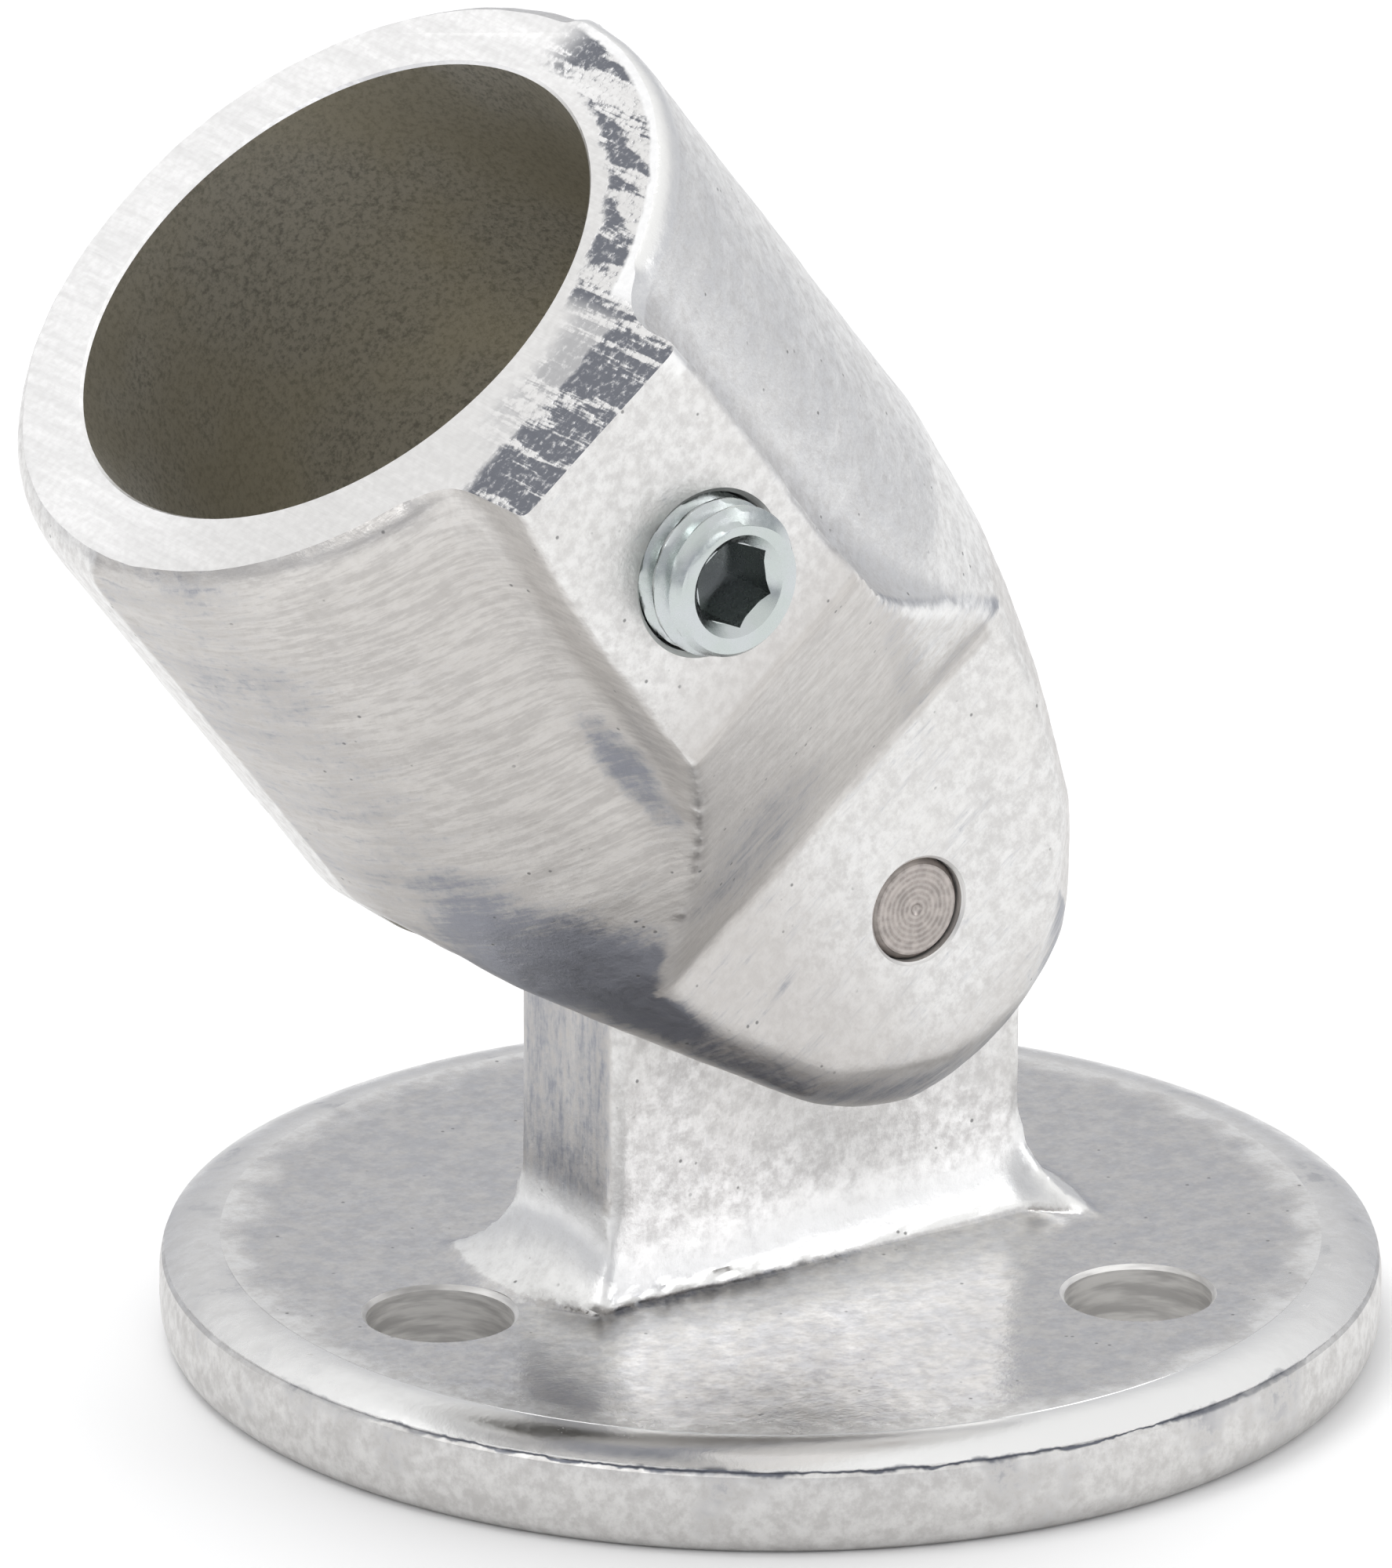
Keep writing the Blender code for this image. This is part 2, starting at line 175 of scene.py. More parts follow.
def turned(profile, steps, closed=False):
    """A profile of (radius, height) points, spun about Z."""
    bm = bmesh.new()
    verts = [bm.verts.new((r, 0, z)) for r, z in profile]
    pairs = zip(verts[-1:] + verts, verts) if closed else zip(verts, verts[1:])
    edges = [bm.edges.new(pair) for pair in pairs]
    bmesh.ops.spin(bm, geom=verts + edges, cent=(0, 0, 0), axis=(0, 0, 1), angle=math.tau, steps=steps,
                   use_merge=True)
    bmesh.ops.remove_doubles(bm, verts=bm.verts, dist=1e-4)
    return bm


def spun(name, profile, steps, slot=0, axis="Z"):
    """A turned solid: the profile is (radius, height), from the axis to the axis."""
    bm = turned(profile, steps)
    if axis == "-Y":
        bmesh.ops.rotate(bm, verts=bm.verts, cent=(0, 0, 0), matrix=Matrix.Rotation(math.pi / 2, 3, "X"))
    return new_object(name, bm, slot)


def lofted(name, rings, slot=0):
    """A closed solid through rings of points with the same count, each ring extruded from the last."""
    bm = bmesh.new()
    number = bm.verts.layers.int.new("number")
    verts = [bm.verts.new(point) for point in rings[0]]
    for index, vert in enumerate(verts):
        vert[number] = index
    loop = [bm.edges.new((verts[i - 1], verts[i])) for i in range(len(verts))]
    bmesh.ops.contextual_create(bm, geom=loop)
    for ring in rings[1:]:
        made = bmesh.ops.extrude_edge_only(bm, edges=loop)["geom"]
        fresh = {item for item in made if isinstance(item, bmesh.types.BMVert)}
        for vert in fresh:
            vert.co = ring[vert[number]]
        made_edges = [item for item in made if isinstance(item, bmesh.types.BMEdge)]
        loop = [edge for edge in made_edges if fresh.issuperset(edge.verts)]
    bmesh.ops.contextual_create(bm, geom=loop)
    return new_object(name, bm, slot)


def block(name, low, high, slot=0):
    """A box between two corners."""
    bm = bmesh.new()
    bmesh.ops.create_cube(bm, size=1.0)
    bmesh.ops.scale(bm, verts=bm.verts, vec=Vector(high) - Vector(low))
    bmesh.ops.translate(bm, verts=bm.verts, vec=(Vector(high) + Vector(low)) / 2)
    return new_object(name, bm, slot)


def placed(obj, matrix):
    """Move the object's mesh, so that the object itself stays at the origin."""
    obj.data.transform(matrix)
    return obj


def evaluated(obj):
    """Replace the object's mesh with its modified one."""
    bpy.context.view_layer.update()
    mesh = bpy.data.meshes.new_from_object(obj.evaluated_get(bpy.context.evaluated_depsgraph_get()))
    obj.modifiers.clear()
    old = obj.data
    obj.data = mesh
    bpy.data.meshes.remove(old)
    return obj


def combined(obj, operation, *others):
    """Join, cut or keep with the other solids, which are used up."""
    for other in others:
        mod = obj.modifiers.new(other.name, "BOOLEAN")
        mod.operation = operation
        mod.object = other
        mod.solver = "EXACT"
    evaluated(obj)
    for other in others:
        bpy.data.meshes.remove(other.data)
    return obj


def cut_together(obj, *cutters):
    """Cut with several solids in one go."""
    holder = bpy.data.collections.new("cutters")
    bpy.context.scene.collection.children.link(holder)
    for cutter in cutters:
        bpy.context.scene.collection.objects.unlink(cutter)
        holder.objects.link(cutter)
    mod = obj.modifiers.new("Cuts", "BOOLEAN")
    mod.operation = "DIFFERENCE"
    mod.operand_type = "COLLECTION"
    mod.collection = holder
    mod.solver = "EXACT"
    evaluated(obj)
    for cutter in cutters:
        bpy.data.meshes.remove(cutter.data)
    bpy.data.collections.remove(holder)
    return obj


def skinned(obj, grain, rounds):
    """Even quads over the whole solid, with its edges rounded as a mould leaves them."""
    mod = obj.modifiers.new("Skin", "REMESH")
    mod.mode = "VOXEL"
    mod.voxel_size = grain
    evaluated(obj)
    bm = bmesh.new()
    bm.from_mesh(obj.data)
    for _ in range(rounds):
        bmesh.ops.smooth_vert(bm, verts=bm.verts, factor=0.5,
                              use_axis_x=True, use_axis_y=True, use_axis_z=True)
    bm.to_mesh(obj.data)
    bm.free()
    return obj


# ---------------------------------------------------------------- vertex values for wear, dirt and painted light

def read(items, name, width, kind=float):
    """One property of every item, as rows of this width."""
    values = np.zeros(len(items) * width, dtype=kind)
    items.foreach_get(name, values)
    return values.reshape(-1, width)


def coordinates(mesh):
    return read(mesh.vertices, "co", 3)


def neighbour_mean(values, ends):
    """The mean of each vertex's neighbours, from the two ends of every edge."""
    count = len(values)
    total = np.bincount(ends[:, 0], values[ends[:, 1]], count)
    total += np.bincount(ends[:, 1], values[ends[:, 0]], count)
    return total / np.bincount(ends.ravel(), minlength=count).clip(1)


def bend(mesh, rounds):
    """How far each vertex lies above (edge, positive) or below (corner) its neighbours, in mm, with
    each vertex then averaged with its neighbours several times."""
    co, normals = coordinates(mesh), read(mesh.vertex_normals, "vector", 3)
    ends = read(mesh.edges, "vertices", 2, int)
    mean = np.stack([neighbour_mean(co[:, i], ends) for i in range(3)], 1)
    rise = np.einsum("ij,ij->i", co - mean, normals)
    for _ in range(rounds):
        rise = 0.5 * rise + 0.5 * neighbour_mean(rise, ends)
    return rise


def smoothstep(low, high, x):
    """0 at low, 1 at high, eased in between. Low may be the larger of the two."""
    t = np.clip((x - low) / (high - low), 0, 1)
    return t * t * (3 - 2 * t)


def blob(co, centre, radii):
    """1 at the centre, 0 outside an ellipsoid with these radii."""
    d = np.sqrt((((co - np.array(centre)) / np.array(radii)) ** 2).sum(1))
    return 1 - smoothstep(0.35, 1.0, d)


def peak(values, centre, width):
    """1 at the centre, falling away over about the width."""
    return np.exp(-((values - centre) / width) ** 2)


def ripple(co, size, seed):
    """Smooth noise from -1 to 1 over the points, with features of about this size."""
    shift = Vector((seed * 17.3, seed * 7.9, seed * 3.1))
    return np.array([noise.noise(Vector(p) / size + shift) for p in co])


def set_values(mesh, name, values):
    attribute = mesh.attributes.get(name) or mesh.attributes.new(name, "FLOAT", "POINT")
    attribute.data.foreach_set("value", np.asarray(values, np.float32))


def carry_values(mesh, co, values):
    """Give each vertex of the mesh the values of the nearest point in co."""
    tree = KDTree(len(co))
    for index, point in enumerate(co):
        tree.insert(point, index)
    tree.balance()
    nearest = np.array([tree.find(v.co)[1] for v in mesh.vertices])
    for name, value in values.items():
        set_values(mesh, name, value[nearest])


def push(mesh, amount):
    """Move each vertex along its normal."""
    co = coordinates(mesh) + read(mesh.vertex_normals, "vector", 3) * amount[:, None]
    mesh.vertices.foreach_set("co", co.ravel())
    mesh.update()


def finished(obj, name, matrix, materials, crease=32):
    """Scale to metres, put in place, shade smooth with crisp machined edges, give materials."""
    obj.name = name
    obj.data.name = name
    bm = bmesh.new()
    bm.from_mesh(obj.data)
    bmesh.ops.remove_doubles(bm, verts=bm.verts, dist=1e-4)
    bmesh.ops.dissolve_degenerate(bm, edges=bm.edges, dist=1e-4)
    bm.to_mesh(obj.data)
    bm.free()
    obj.data.transform(matrix @ Matrix.Scale(MM, 4))
    for index, mat in enumerate(materials):
        obj.data.materials[index] = mat
    while len(obj.data.materials) > len(materials):
        obj.data.materials.pop()
    obj.data.shade_smooth()
    obj.data.set_sharp_from_angle(angle=math.radians(crease))
    return obj


# ---------------------------------------------------------------- materials

def scaled(tone, factor):
    """A colour made darker or lighter."""
    return tuple(channel * factor for channel in tone)


class Shade:
    """Short names for building one material's nodes."""

    def __init__(self, name):
        self.look = bpy.context.scene.stanchion_finish
        self.material = bpy.data.materials.new(name)
        self.material.use_nodes = True
        self.tree = self.material.node_tree
        self.surface = self.tree.nodes["Principled BSDF"]

    def put(self, node, socket, value):
        target = node.inputs[socket]
        if isinstance(value, bpy.types.NodeSocket):
            self.tree.links.new(value, target)
        elif target.type == "RGBA":
            target.default_value = (*value, 1.0)
        else:
            target.default_value = value

    def add(self, kind, inputs=None, **settings):
        node = self.tree.nodes.new(kind)
        for key, value in settings.items():
            setattr(node, key, value)
        for socket, value in (inputs or {}).items():
            self.put(node, socket, value)
        return node

    def place(self, centre, tilt, scale):
        """Object coordinates centred on a point, turned about Y and stretched."""
        local = self.add("ShaderNodeMapping", {"Vector": self.add("ShaderNodeTexCoord").outputs["Object"],
                                               "Location": centre, "Rotation": (0, tilt, 0)},
                         vector_type="TEXTURE").outputs[0]
        return self.add("ShaderNodeMapping", {"Vector": local, "Scale": scale}).outputs[0]

    def noise(self, vector, scale, detail=3.0, rough=0.55, distortion=0.0):
        return self.add("ShaderNodeTexNoise", {"Vector": vector, "Scale": scale, "Detail": detail,
                                               "Roughness": rough, "Distortion": distortion}).outputs["Fac"]

    def cells(self, vector, scale):
        return self.add("ShaderNodeTexVoronoi", {"Vector": vector, "Scale": scale}).outputs["Distance"]

    def value(self, name):
        return self.add("ShaderNodeAttribute", attribute_name=name).outputs["Fac"]

    def math(self, operation, a, b=0.0):
        return self.add("ShaderNodeMath", {0: a, 1: b}, operation=operation).outputs[0]

    def times(self, a, b):
        return self.math("MULTIPLY", a, b)

    def plus(self, a, b):
        return self.math("ADD", a, b)

    def minus(self, a, b):
        return self.math("SUBTRACT", a, b)

    def over(self, a, b):
        return self.math("DIVIDE", a, b)

    def most(self, a, b):
        return self.math("MAXIMUM", a, b)

    def swing(self, noise_value, amount):
        """Noise moved down to vary about 0, by this amount."""
        return self.times(self.minus(noise_value, 0.5), amount)

    def step(self, x, low, high, to_low=0.0, to_high=1.0):
        """Eased from to_low at low to to_high at high. A low or high that is itself noise must not
        cross the other one."""
        inputs = {"Value": x, "From Min": low, "From Max": high, "To Min": to_low, "To Max": to_high}
        return self.add("ShaderNodeMapRange", inputs, interpolation_type="SMOOTHSTEP").outputs[0]

    def mix(self, factor, a, b, blend="MIX"):
        node = self.add("ShaderNodeMix", data_type="RGBA", blend_type=blend)
        self.put(node, 0, factor)
        self.put(node, 6, a)
        self.put(node, 7, b)
        return node.outputs[2]

    def bump(self, height, strength, distance, normal=None):
        inputs = {"Height": height, "Strength": strength, "Distance": distance}
        if normal is not None:
            inputs["Normal"] = normal
        return self.add("ShaderNodeBump", inputs).outputs[0]

    def set(self, **values):
        for key, value in values.items():
            self.put(self.surface, key.replace("_", " ").title().replace("Ior", "IOR"), value)
        return self.material


def cast_skin(name, tilt, centre, streak_scale):
    """Tumbled cast aluminium: mottled skin, fine pits, tarnishing with painted shade in the hollows, painted
    dark reflections, a painted cool reflection on the flat top, and bright edges, worn and with painted
    highlights.
    """
    s = Shade(name)
    even = s.place(centre, tilt, (1, 1, 1))
    long = s.place(centre, tilt, streak_scale)
    patches = s.noise(even, 110, 4, 0.6)
    mottle = s.noise(even, 1300, 5, 0.72)
    grain = s.noise(even, 3600, 3, 0.6)
    streaks = s.noise(long, 2300, 4, 0.7, 0.1)
    broad = s.noise(long, 480, 4, 0.6, 0.3)
    pits = s.step(s.cells(even, 900), 0.14, 0.06)
    pits = s.times(pits, s.step(s.noise(even, 300, 2), 0.54, 0.62))
    hollow, tarnish_and_painted_shade, streaky = s.value("hollow"), s.value("tarnish_and_painted_shade"), s.value("streaky")
    wear_and_highlight, polish_and_painted_reflection, dull_and_painted_shade = s.value("wear_and_highlight"), s.value("polish_and_painted_reflection"), s.value("dull_and_painted_shade")
    tone = s.mix(s.step(mottle, 0.34, 0.66), s.look.cast_dark, s.look.cast_light)
    tone = s.mix(s.step(patches, 0.35, 0.65, 0.0, 0.3), tone, (0.70, 0.685, 0.66))
    # Duller, darker skin: oxide mixed with painted shade and painted dark reflections.
    tone = s.mix(s.times(dull_and_painted_shade, 0.72), tone, s.look.cast_dull)
    # Painted reflection: the polished flat top made darker and cooler, as if mirroring a grey room.
    painted_top_reflection = s.times(polish_and_painted_reflection, s.step(s.noise(even, 700, 5, 0.75), 0.38, 0.62, 0.1, 0.9))
    tone = s.mix(painted_top_reflection, tone, (0.81, 0.83, 0.88), "MULTIPLY")
    streak_tone = s.mix(s.step(streaks, 0.40, 0.60), (0.36, 0.34, 0.32), (0.66, 0.635, 0.60))
    tone = s.mix(s.times(streaky, 0.34), tone, streak_tone)
    # Slate from the tarnishing values: real tarnishing mixed with painted shade and painted dark reflections
    # of the room.
    edge = s.plus(tarnish_and_painted_shade, s.swing(mottle, 1.0))
    edge = s.plus(edge, s.swing(streaks, 1.3))
    edge = s.plus(edge, s.swing(broad, 0.9))
    tone = s.mix(s.step(edge, 0.18, 0.95, 0.0, 0.82), tone, s.look.slate)
    # Slate in the hollows: tarnishing mixed with painted shade.
    hollow_tarnish_and_shade = s.plus(hollow, s.swing(mottle, 1.2))
    tone = s.mix(s.step(hollow_tarnish_and_shade, 0.3, 1.0, 0.0, 0.6), tone, s.look.slate)
    # Bright edges: wear mixed with painted highlights.
    bright_wear_and_highlight = s.plus(wear_and_highlight, s.swing(mottle, 0.8))
    tone = s.mix(s.step(bright_wear_and_highlight, 0.15, 0.8, 0.0, 0.85), tone, (0.90, 0.90, 0.89))
    tone = s.mix(s.times(pits, 0.75), tone, (0.14, 0.14, 0.14))
    rough = s.step(mottle, 0.3, 0.7, 0.42, 0.30)
    rough = s.minus(rough, s.times(polish_and_painted_reflection, 0.17))
    soft = s.minus(1.0, s.times(polish_and_painted_reflection, 0.5))
    height = s.plus(mottle, s.times(grain, 0.6))
    height = s.plus(height, s.times(s.times(streaks, streaky), 0.3))
    height = s.times(s.minus(height, s.times(pits, 0.5)), soft)
    swell = s.times(s.noise(even, 300, 3, 0.5), soft)
    bump = s.bump(swell, 0.5, 0.07 * MM, s.bump(height, 0.5, 0.05 * MM))
    return s.set(base_color=tone, metallic=1.0, roughness=rough, normal=bump)


def cast_rim():
    """Burnished rim: glossy crown with a painted highlight growing towards the front, a slate line at the
    front that is a painted dark reflection in the groove, a mottled side.
    """
    s = Shade("cast_rim")
    even = s.place((0, 0, 0), 0, (1, 1, 1))
    parts = s.add("ShaderNodeSeparateXYZ", {0: even}).outputs
    height = s.over(parts["Z"], MM)
    mottle = s.noise(even, 900, 5, 0.7)
    coarse = s.noise(even, 150, 3, 0.6)
    fine = s.noise(even, 520, 3, 0.6)
    facing = s.plus(s.times(parts["X"], -0.45), s.times(parts["Y"], -0.89))
    facing = s.plus(s.over(facing, bpy.context.scene.stanchion_base.flange_radius), s.swing(fine, 0.5))
    # front: the part of the rim that faces the front, towards the camera.
    front = s.step(facing, 0.45, 0.85)
    # crown: the burnished band, given a painted highlight that grows towards the front.
    crown = s.times(s.step(height, 5.35, 5.5), s.step(facing, 0.0, 0.75, 0.25, 1.0))
    # groove: a painted dark reflection along the groove under the crown, strongest at the front.
    groove = s.minus(height, s.step(fine, 0.3, 0.7, 5.2, 5.42))
    groove = s.step(s.math("ABSOLUTE", groove), 0.03, s.step(coarse, 0.4, 0.62, 0.10, 0.30), 1.0, 0.0)
    groove = s.times(groove, s.plus(s.times(front, 0.8), 0.12))
    tone = s.mix(s.step(mottle, 0.34, 0.66), s.look.cast_dark, s.look.cast_light)
    tone = s.mix(s.step(height, 5.3, 5.0, 0.0, 1.0), tone, (0.90, 0.895, 0.89), "MULTIPLY")
    stain = s.times(s.step(coarse, 0.50, 0.68), s.step(height, 0.0, 5.0, 0.3, 0.8))
    tone = s.mix(s.times(stain, s.step(mottle, 0.42, 0.6)), tone, (0.36, 0.36, 0.38))
    # The painted highlight on the crown, then the painted dark reflection in the groove.
    tone = s.mix(crown, tone, (0.84, 0.84, 0.835))
    tone = s.mix(groove, tone, (0.09, 0.10, 0.13))
    shine = s.mix(crown, s.step(mottle, 0.3, 0.7, 0.42, 0.30), s.step(mottle, 0.3, 0.7, 0.26, 0.18))
    strength = s.times(s.minus(1.0, s.times(crown, 0.45)), mottle)
    bump = s.bump(coarse, 0.35, 0.12 * MM, s.bump(strength, 0.5, 0.07 * MM))
    return s.set(base_color=tone, metallic=1.0, roughness=shine, normal=bump)


def cut_face(name, tilt, centre):
    """Ground end of the casting: smooth by the bore, tarnished with bright chatter marks near its boss."""
    s = Shade(name)
    even = s.place(centre, tilt, (1, 1, 1))
    fine = s.noise(even, 2000, 4, 0.65)
    medium = s.noise(even, 650, 4, 0.65)
    lines = s.noise(s.place(centre, tilt, (1, 0.10, 1)), 1100, 3, 0.6, 0.15)
    wide = s.noise(s.place(centre, tilt, (1, 0.14, 1)), 520, 2, 0.5, 0.3)
    parts = s.add("ShaderNodeSeparateXYZ", {0: even}).outputs
    across_w, across_y = s.over(parts["X"], MM), s.over(parts["Y"], MM)
    radius = s.math("SQRT", s.plus(s.math("POWER", across_w, 2.0), s.math("POWER", across_y, 2.0)))
    ragged = s.swing(medium, 2.0)
    near = s.step(across_y, 1.0, -3.0)
    ragged_radius = s.plus(radius, ragged)
    by_side = s.times(s.step(ragged_radius, 18.2, 18.7), s.step(across_w, 4.5, 6.5))
    by_boss = s.times(s.step(s.plus(across_y, ragged), -21.8, -22.8), s.step(across_w, -13.0, -9.5))
    drift = s.plus(across_w, s.times(ragged, 2.5))
    between = s.times(s.step(ragged_radius, 18.6, 20.6), s.step(drift, -6.0, 0.5))
    # rim: a painted highlight, a bright line along the mouth's outer edge on its near right side.
    rim = s.step(s.plus(radius, s.times(ragged, 0.2)), 21.2, 21.5)
    rim = s.times(rim, s.times(s.step(across_w, 6.5, 7.5), near))
    dark = s.minus(1.0, s.step(lines, 0.50, 0.62, 0.0, 0.8))
    banded = s.times(s.step(wide, 0.53, 0.60, 0.0, 0.9), by_side)
    dark = s.times(dark, s.minus(1.0, banded))
    zone = s.most(s.most(by_side, by_boss), s.times(between, 0.45))
    zone = s.times(s.times(zone, near), s.minus(1.0, rim))
    speckled = s.plus(dark, s.swing(fine, 3.0))
    marks = s.times(s.step(speckled, 0.1, 1.0), zone)
    tone = s.mix(s.step(lines, 0.35, 0.65), (0.86, 0.855, 0.85), (0.96, 0.955, 0.95))
    tone = s.mix(s.step(fine, 0.40, 0.62, 0.0, 0.25), tone, (0.76, 0.75, 0.74))
    tone = s.mix(s.step(across_y, 2.0, -14.0, 0.0, 0.6), tone, (0.66, 0.65, 0.635))
    tone = s.mix(s.times(marks, 0.92), tone, scaled(s.look.slate, 0.62))
    # The painted highlight on the mouth's outer edge.
    tone = s.mix(rim, tone, (0.95, 0.95, 0.95))
    height = s.plus(lines, s.times(marks, -0.7))
    bump = s.bump(height, 0.5, 0.07 * MM)
    return s.set(base_color=tone, metallic=1.0, roughness=s.step(fine, 0.3, 0.7, 0.42, 0.30), normal=bump)


def bored_face(name, tilt, centre):
    """Oxidised brown grey inside of the bore and the slot."""
    s = Shade(name)
    even = s.place(centre, tilt, (1, 1, 1))
    rings = s.place(centre, tilt, (0.12, 0.12, 1))
    speck = s.noise(even, 2600, 4, 0.75)
    cloud = s.noise(even, 60, 3, 0.55)
    tone = s.mix(s.step(speck, 0.32, 0.58), scaled(s.look.bore, 0.62), scaled(s.look.bore, 1.1))
    tone = s.mix(s.step(cloud, 0.42, 0.62, 0.0, 0.45), tone, (0.60, 0.56, 0.44))
    bump = s.bump(s.plus(s.noise(rings, 900, 3), speck), 0.5, 0.06 * MM)
    return s.set(base_color=tone, metallic=0.9, roughness=s.step(cloud, 0.3, 0.7, 0.55, 0.42), normal=bump)


def drilled_face(name, tilt, centre, stretch):
    """Bright walls of drilled holes, with fine turned grooves along the hole."""
    s = Shade(name)
    rings = s.place(centre, tilt, stretch)
    lines = s.noise(rings, 1500, 3, 0.6)
    tone = s.mix(s.step(lines, 0.35, 0.65), (0.62, 0.61, 0.60), (0.93, 0.92, 0.90))
    return s.set(base_color=tone, metallic=0.8, roughness=0.42, normal=s.bump(lines, 0.6, 0.08 * MM))


def turned_steel():
    """Faced end of the pin: concentric tool rings and a faint brown film."""
    s = Shade("pin_steel")
    local = s.place((0, 0, PIVOT_HEIGHT), 0, (1, 0.0, 1))
    rings = s.add("ShaderNodeTexWave", {"Vector": local, "Scale": 900.0, "Distortion": 1.2, "Detail": 3.0,
                                        "Detail Scale": 0.8}, wave_type="RINGS",
                  rings_direction="SPHERICAL").outputs["Fac"]
    speck = s.noise(s.place((0, 0, PIVOT_HEIGHT), 0, (1, 1, 1)), 1500, 4, 0.65)
    tone = s.mix(s.step(speck, 0.32, 0.68), scaled(s.look.steel, 0.8), scaled(s.look.steel, 1.2))
    tone = s.mix(s.step(rings, 0.2, 0.9, 0.0, 0.3), tone, (0.62, 0.58, 0.55))
    return s.set(base_color=tone, metallic=1.0, roughness=s.step(speck, 0.3, 0.7, 0.42, 0.32),
                 normal=s.bump(rings, 0.35, 0.02 * MM))


def zinc_plate(name, dark=1.0):
    """Bright zinc with a cool, slightly green tint. A dark factor below 1 gives a darker copy, painted shade
    for inside the hexagon socket.
    """
    s = Shade(name)
    even = s.place((0, 0, 0), 0, (1, 1, 1))
    cloud = s.noise(even, 420, 4, 0.6)
    speck = s.noise(even, 2600, 3, 0.6)
    tone = s.mix(s.step(cloud, 0.35, 0.65), scaled(s.look.zinc, dark), scaled((0.53, 0.575, 0.56), dark))
    tone = s.mix(s.step(speck, 0.55, 0.75, 0.0, 0.25), tone, scaled((0.42, 0.45, 0.45), dark))
    return s.set(base_color=tone, metallic=1.0, roughness=s.step(speck, 0.3, 0.7, 0.30, 0.20),
                 normal=s.bump(speck, 0.3, 0.012 * MM))


# ---------------------------------------------------------------- base casting

def arc(cx, cy, radius, start, end, count):
    """Points on an arc, with its angles in degrees."""
    angles = np.radians(np.linspace(start, end, count))
    return [(cx + radius * math.cos(a), cy + radius * math.sin(a)) for a in angles]


def crown_arc(size, inset, lift, start, count):
    """The rim's rounded top, from the flat down to the crease."""
    flat, drop = size.flat_radius / MM, (size.flange_thickness - size.rim_height) / MM
    reach = size.flange_radius / MM - inset - flat
    radius = (reach ** 2 + drop ** 2) / (2 * drop)
    sweep = math.degrees(math.asin(reach / radius))
    return arc(flat, size.flange_thickness / MM + lift - radius, radius, start, 90 - sweep, count)


def flange_solid(size):
    """The flange, a little too deep and a little too wide, with a crowned rim; its straight side is drafted
    both ways later, by the rim's cutter.
    """
    outer, top = size.flange_radius / MM, size.flange_thickness / MM
    rim, crease = crown_arc(size, 0.25, 0.03, 90, 7), size.rim_height / MM
    lip = [(outer + 0.5, crease - 0.2), (outer + 0.5, -1.5), (0, -1.5)]
    return spun("flange", [(0, top)] + rim + lip, 160)


def rim_cutter(size):
    """Burnished crown of the rim, the fine groove under it and the drafted side."""
    outer, top = size.flange_radius / MM, size.flange_thickness / MM
    crown, crease = crown_arc(size, 0.3, 0.0, 92, 14), size.rim_height / MM
    side = [(outer - 0.36, crease - 0.22), (outer - 0.14, crease - 0.42), (outer - 0.02, crease - 1.1),
            (outer, crease / 2), (outer - 0.07, 1.7), (outer - 0.25, 1.0), (outer - 0.55, 0.45),
            (outer - 0.95, 0.12), (outer - 1.4, -0.05), (outer - 1.4, -6)]
    profile = crown + side + [(outer + 8, -6), (outer + 8, top + 3), (crown[0][0], top + 3)]
    return new_object("rim", turned(profile, 200, closed=True), 3)


def foot_solid(size):
    """Concave skirt that carries the tongue into the flange, wide under the narrow faces and tight
    along the wide ones."""
    top = size.flange_thickness / MM
    half_x, half_y = size.tongue_half_length / MM - 0.1, size.tongue_half_thickness / MM - 0.1
    # Each pair is a point of the skirt's edge on the flange, and the point it rises to on the tongue.
    half = (((-13.6, -5.4), (-13.8, -half_y)), ((-16.6, -5.9), (-half_x, -half_y)),
            ((-18.1, -3.4), (-half_x, -3.2)), ((-19.3, -0.6), (-half_x, -1.2)),
            ((-19.5, 2.6), (-half_x, 1.6)), ((-18.7, 6.2), (-half_x, 4.0)),
            ((-17.6, 9.4), (-half_x, half_y)), ((-14.6, 6.2), (-13.8, half_y)))
    pairs = list(half) + [((-x, -y), (-u, -v)) for (x, y), (u, v) in half]
    first = math.radians(24)
    rings = [[(x, y, top - 1.0) for (x, y), _ in pairs]]
    for a in np.linspace(first, math.radians(88), 9):
        out = (1 - math.sin(a)) / (1 - math.sin(first))
        height = top + 0.12 + size.foot_fillet / MM * (math.cos(first) - math.cos(a))
        rings.append([(u + (x - u) * out, v + (y - v) * out, height) for (x, y), (u, v) in pairs])
    rings.append([(u * 0.96, v * 0.9, height + 1.0) for _, (u, v) in pairs])
    return lofted("foot", rings)


def tongue_solid(size):
    """The upright tongue, with a round top and a little draft on its two wide faces."""
    half, thick = size.tongue_half_length / MM, size.tongue_half_thickness / MM
    centre, foot = PIVOT_HEIGHT / MM, size.flange_thickness / MM - 1.0
    rings = []
    for inset, y in ((1.0, -thick), (0.35, -thick + 0.3), (0.0, -thick + 0.9), (0.0, thick - 0.9),
                     (0.35, thick - 0.3), (1.0, thick)):
        outline = [(half - inset, foot)] + arc(0, centre, half - inset, 0, 180, 41) + [(inset - half, foot)]
        rings.append([(x, y, z) for x, z in outline])
    return lofted("tongue", rings)


def fixing_cutters(size):
    """Drilled holes with a small broken edge at the top."""
    radius, top = size.fixing_radius / MM, size.flange_thickness / MM
    cutters = []
    for index in range(size.fixing_count):
        angle = math.pi + math.tau * index / size.fixing_count
        x, y = (size.fixing_circle / MM * f(angle) for f in (math.cos, math.sin))
        profile = [(0, -4), (radius, -4), (radius, top - 0.25), (radius + 0.3, top + 0.05),
                   (radius + 0.5, top + 3), (0, top + 3)]
        cutters.append(placed(spun("fixing", profile, 64, 1), Matrix.Translation((x, y, 0))))
    return cutters


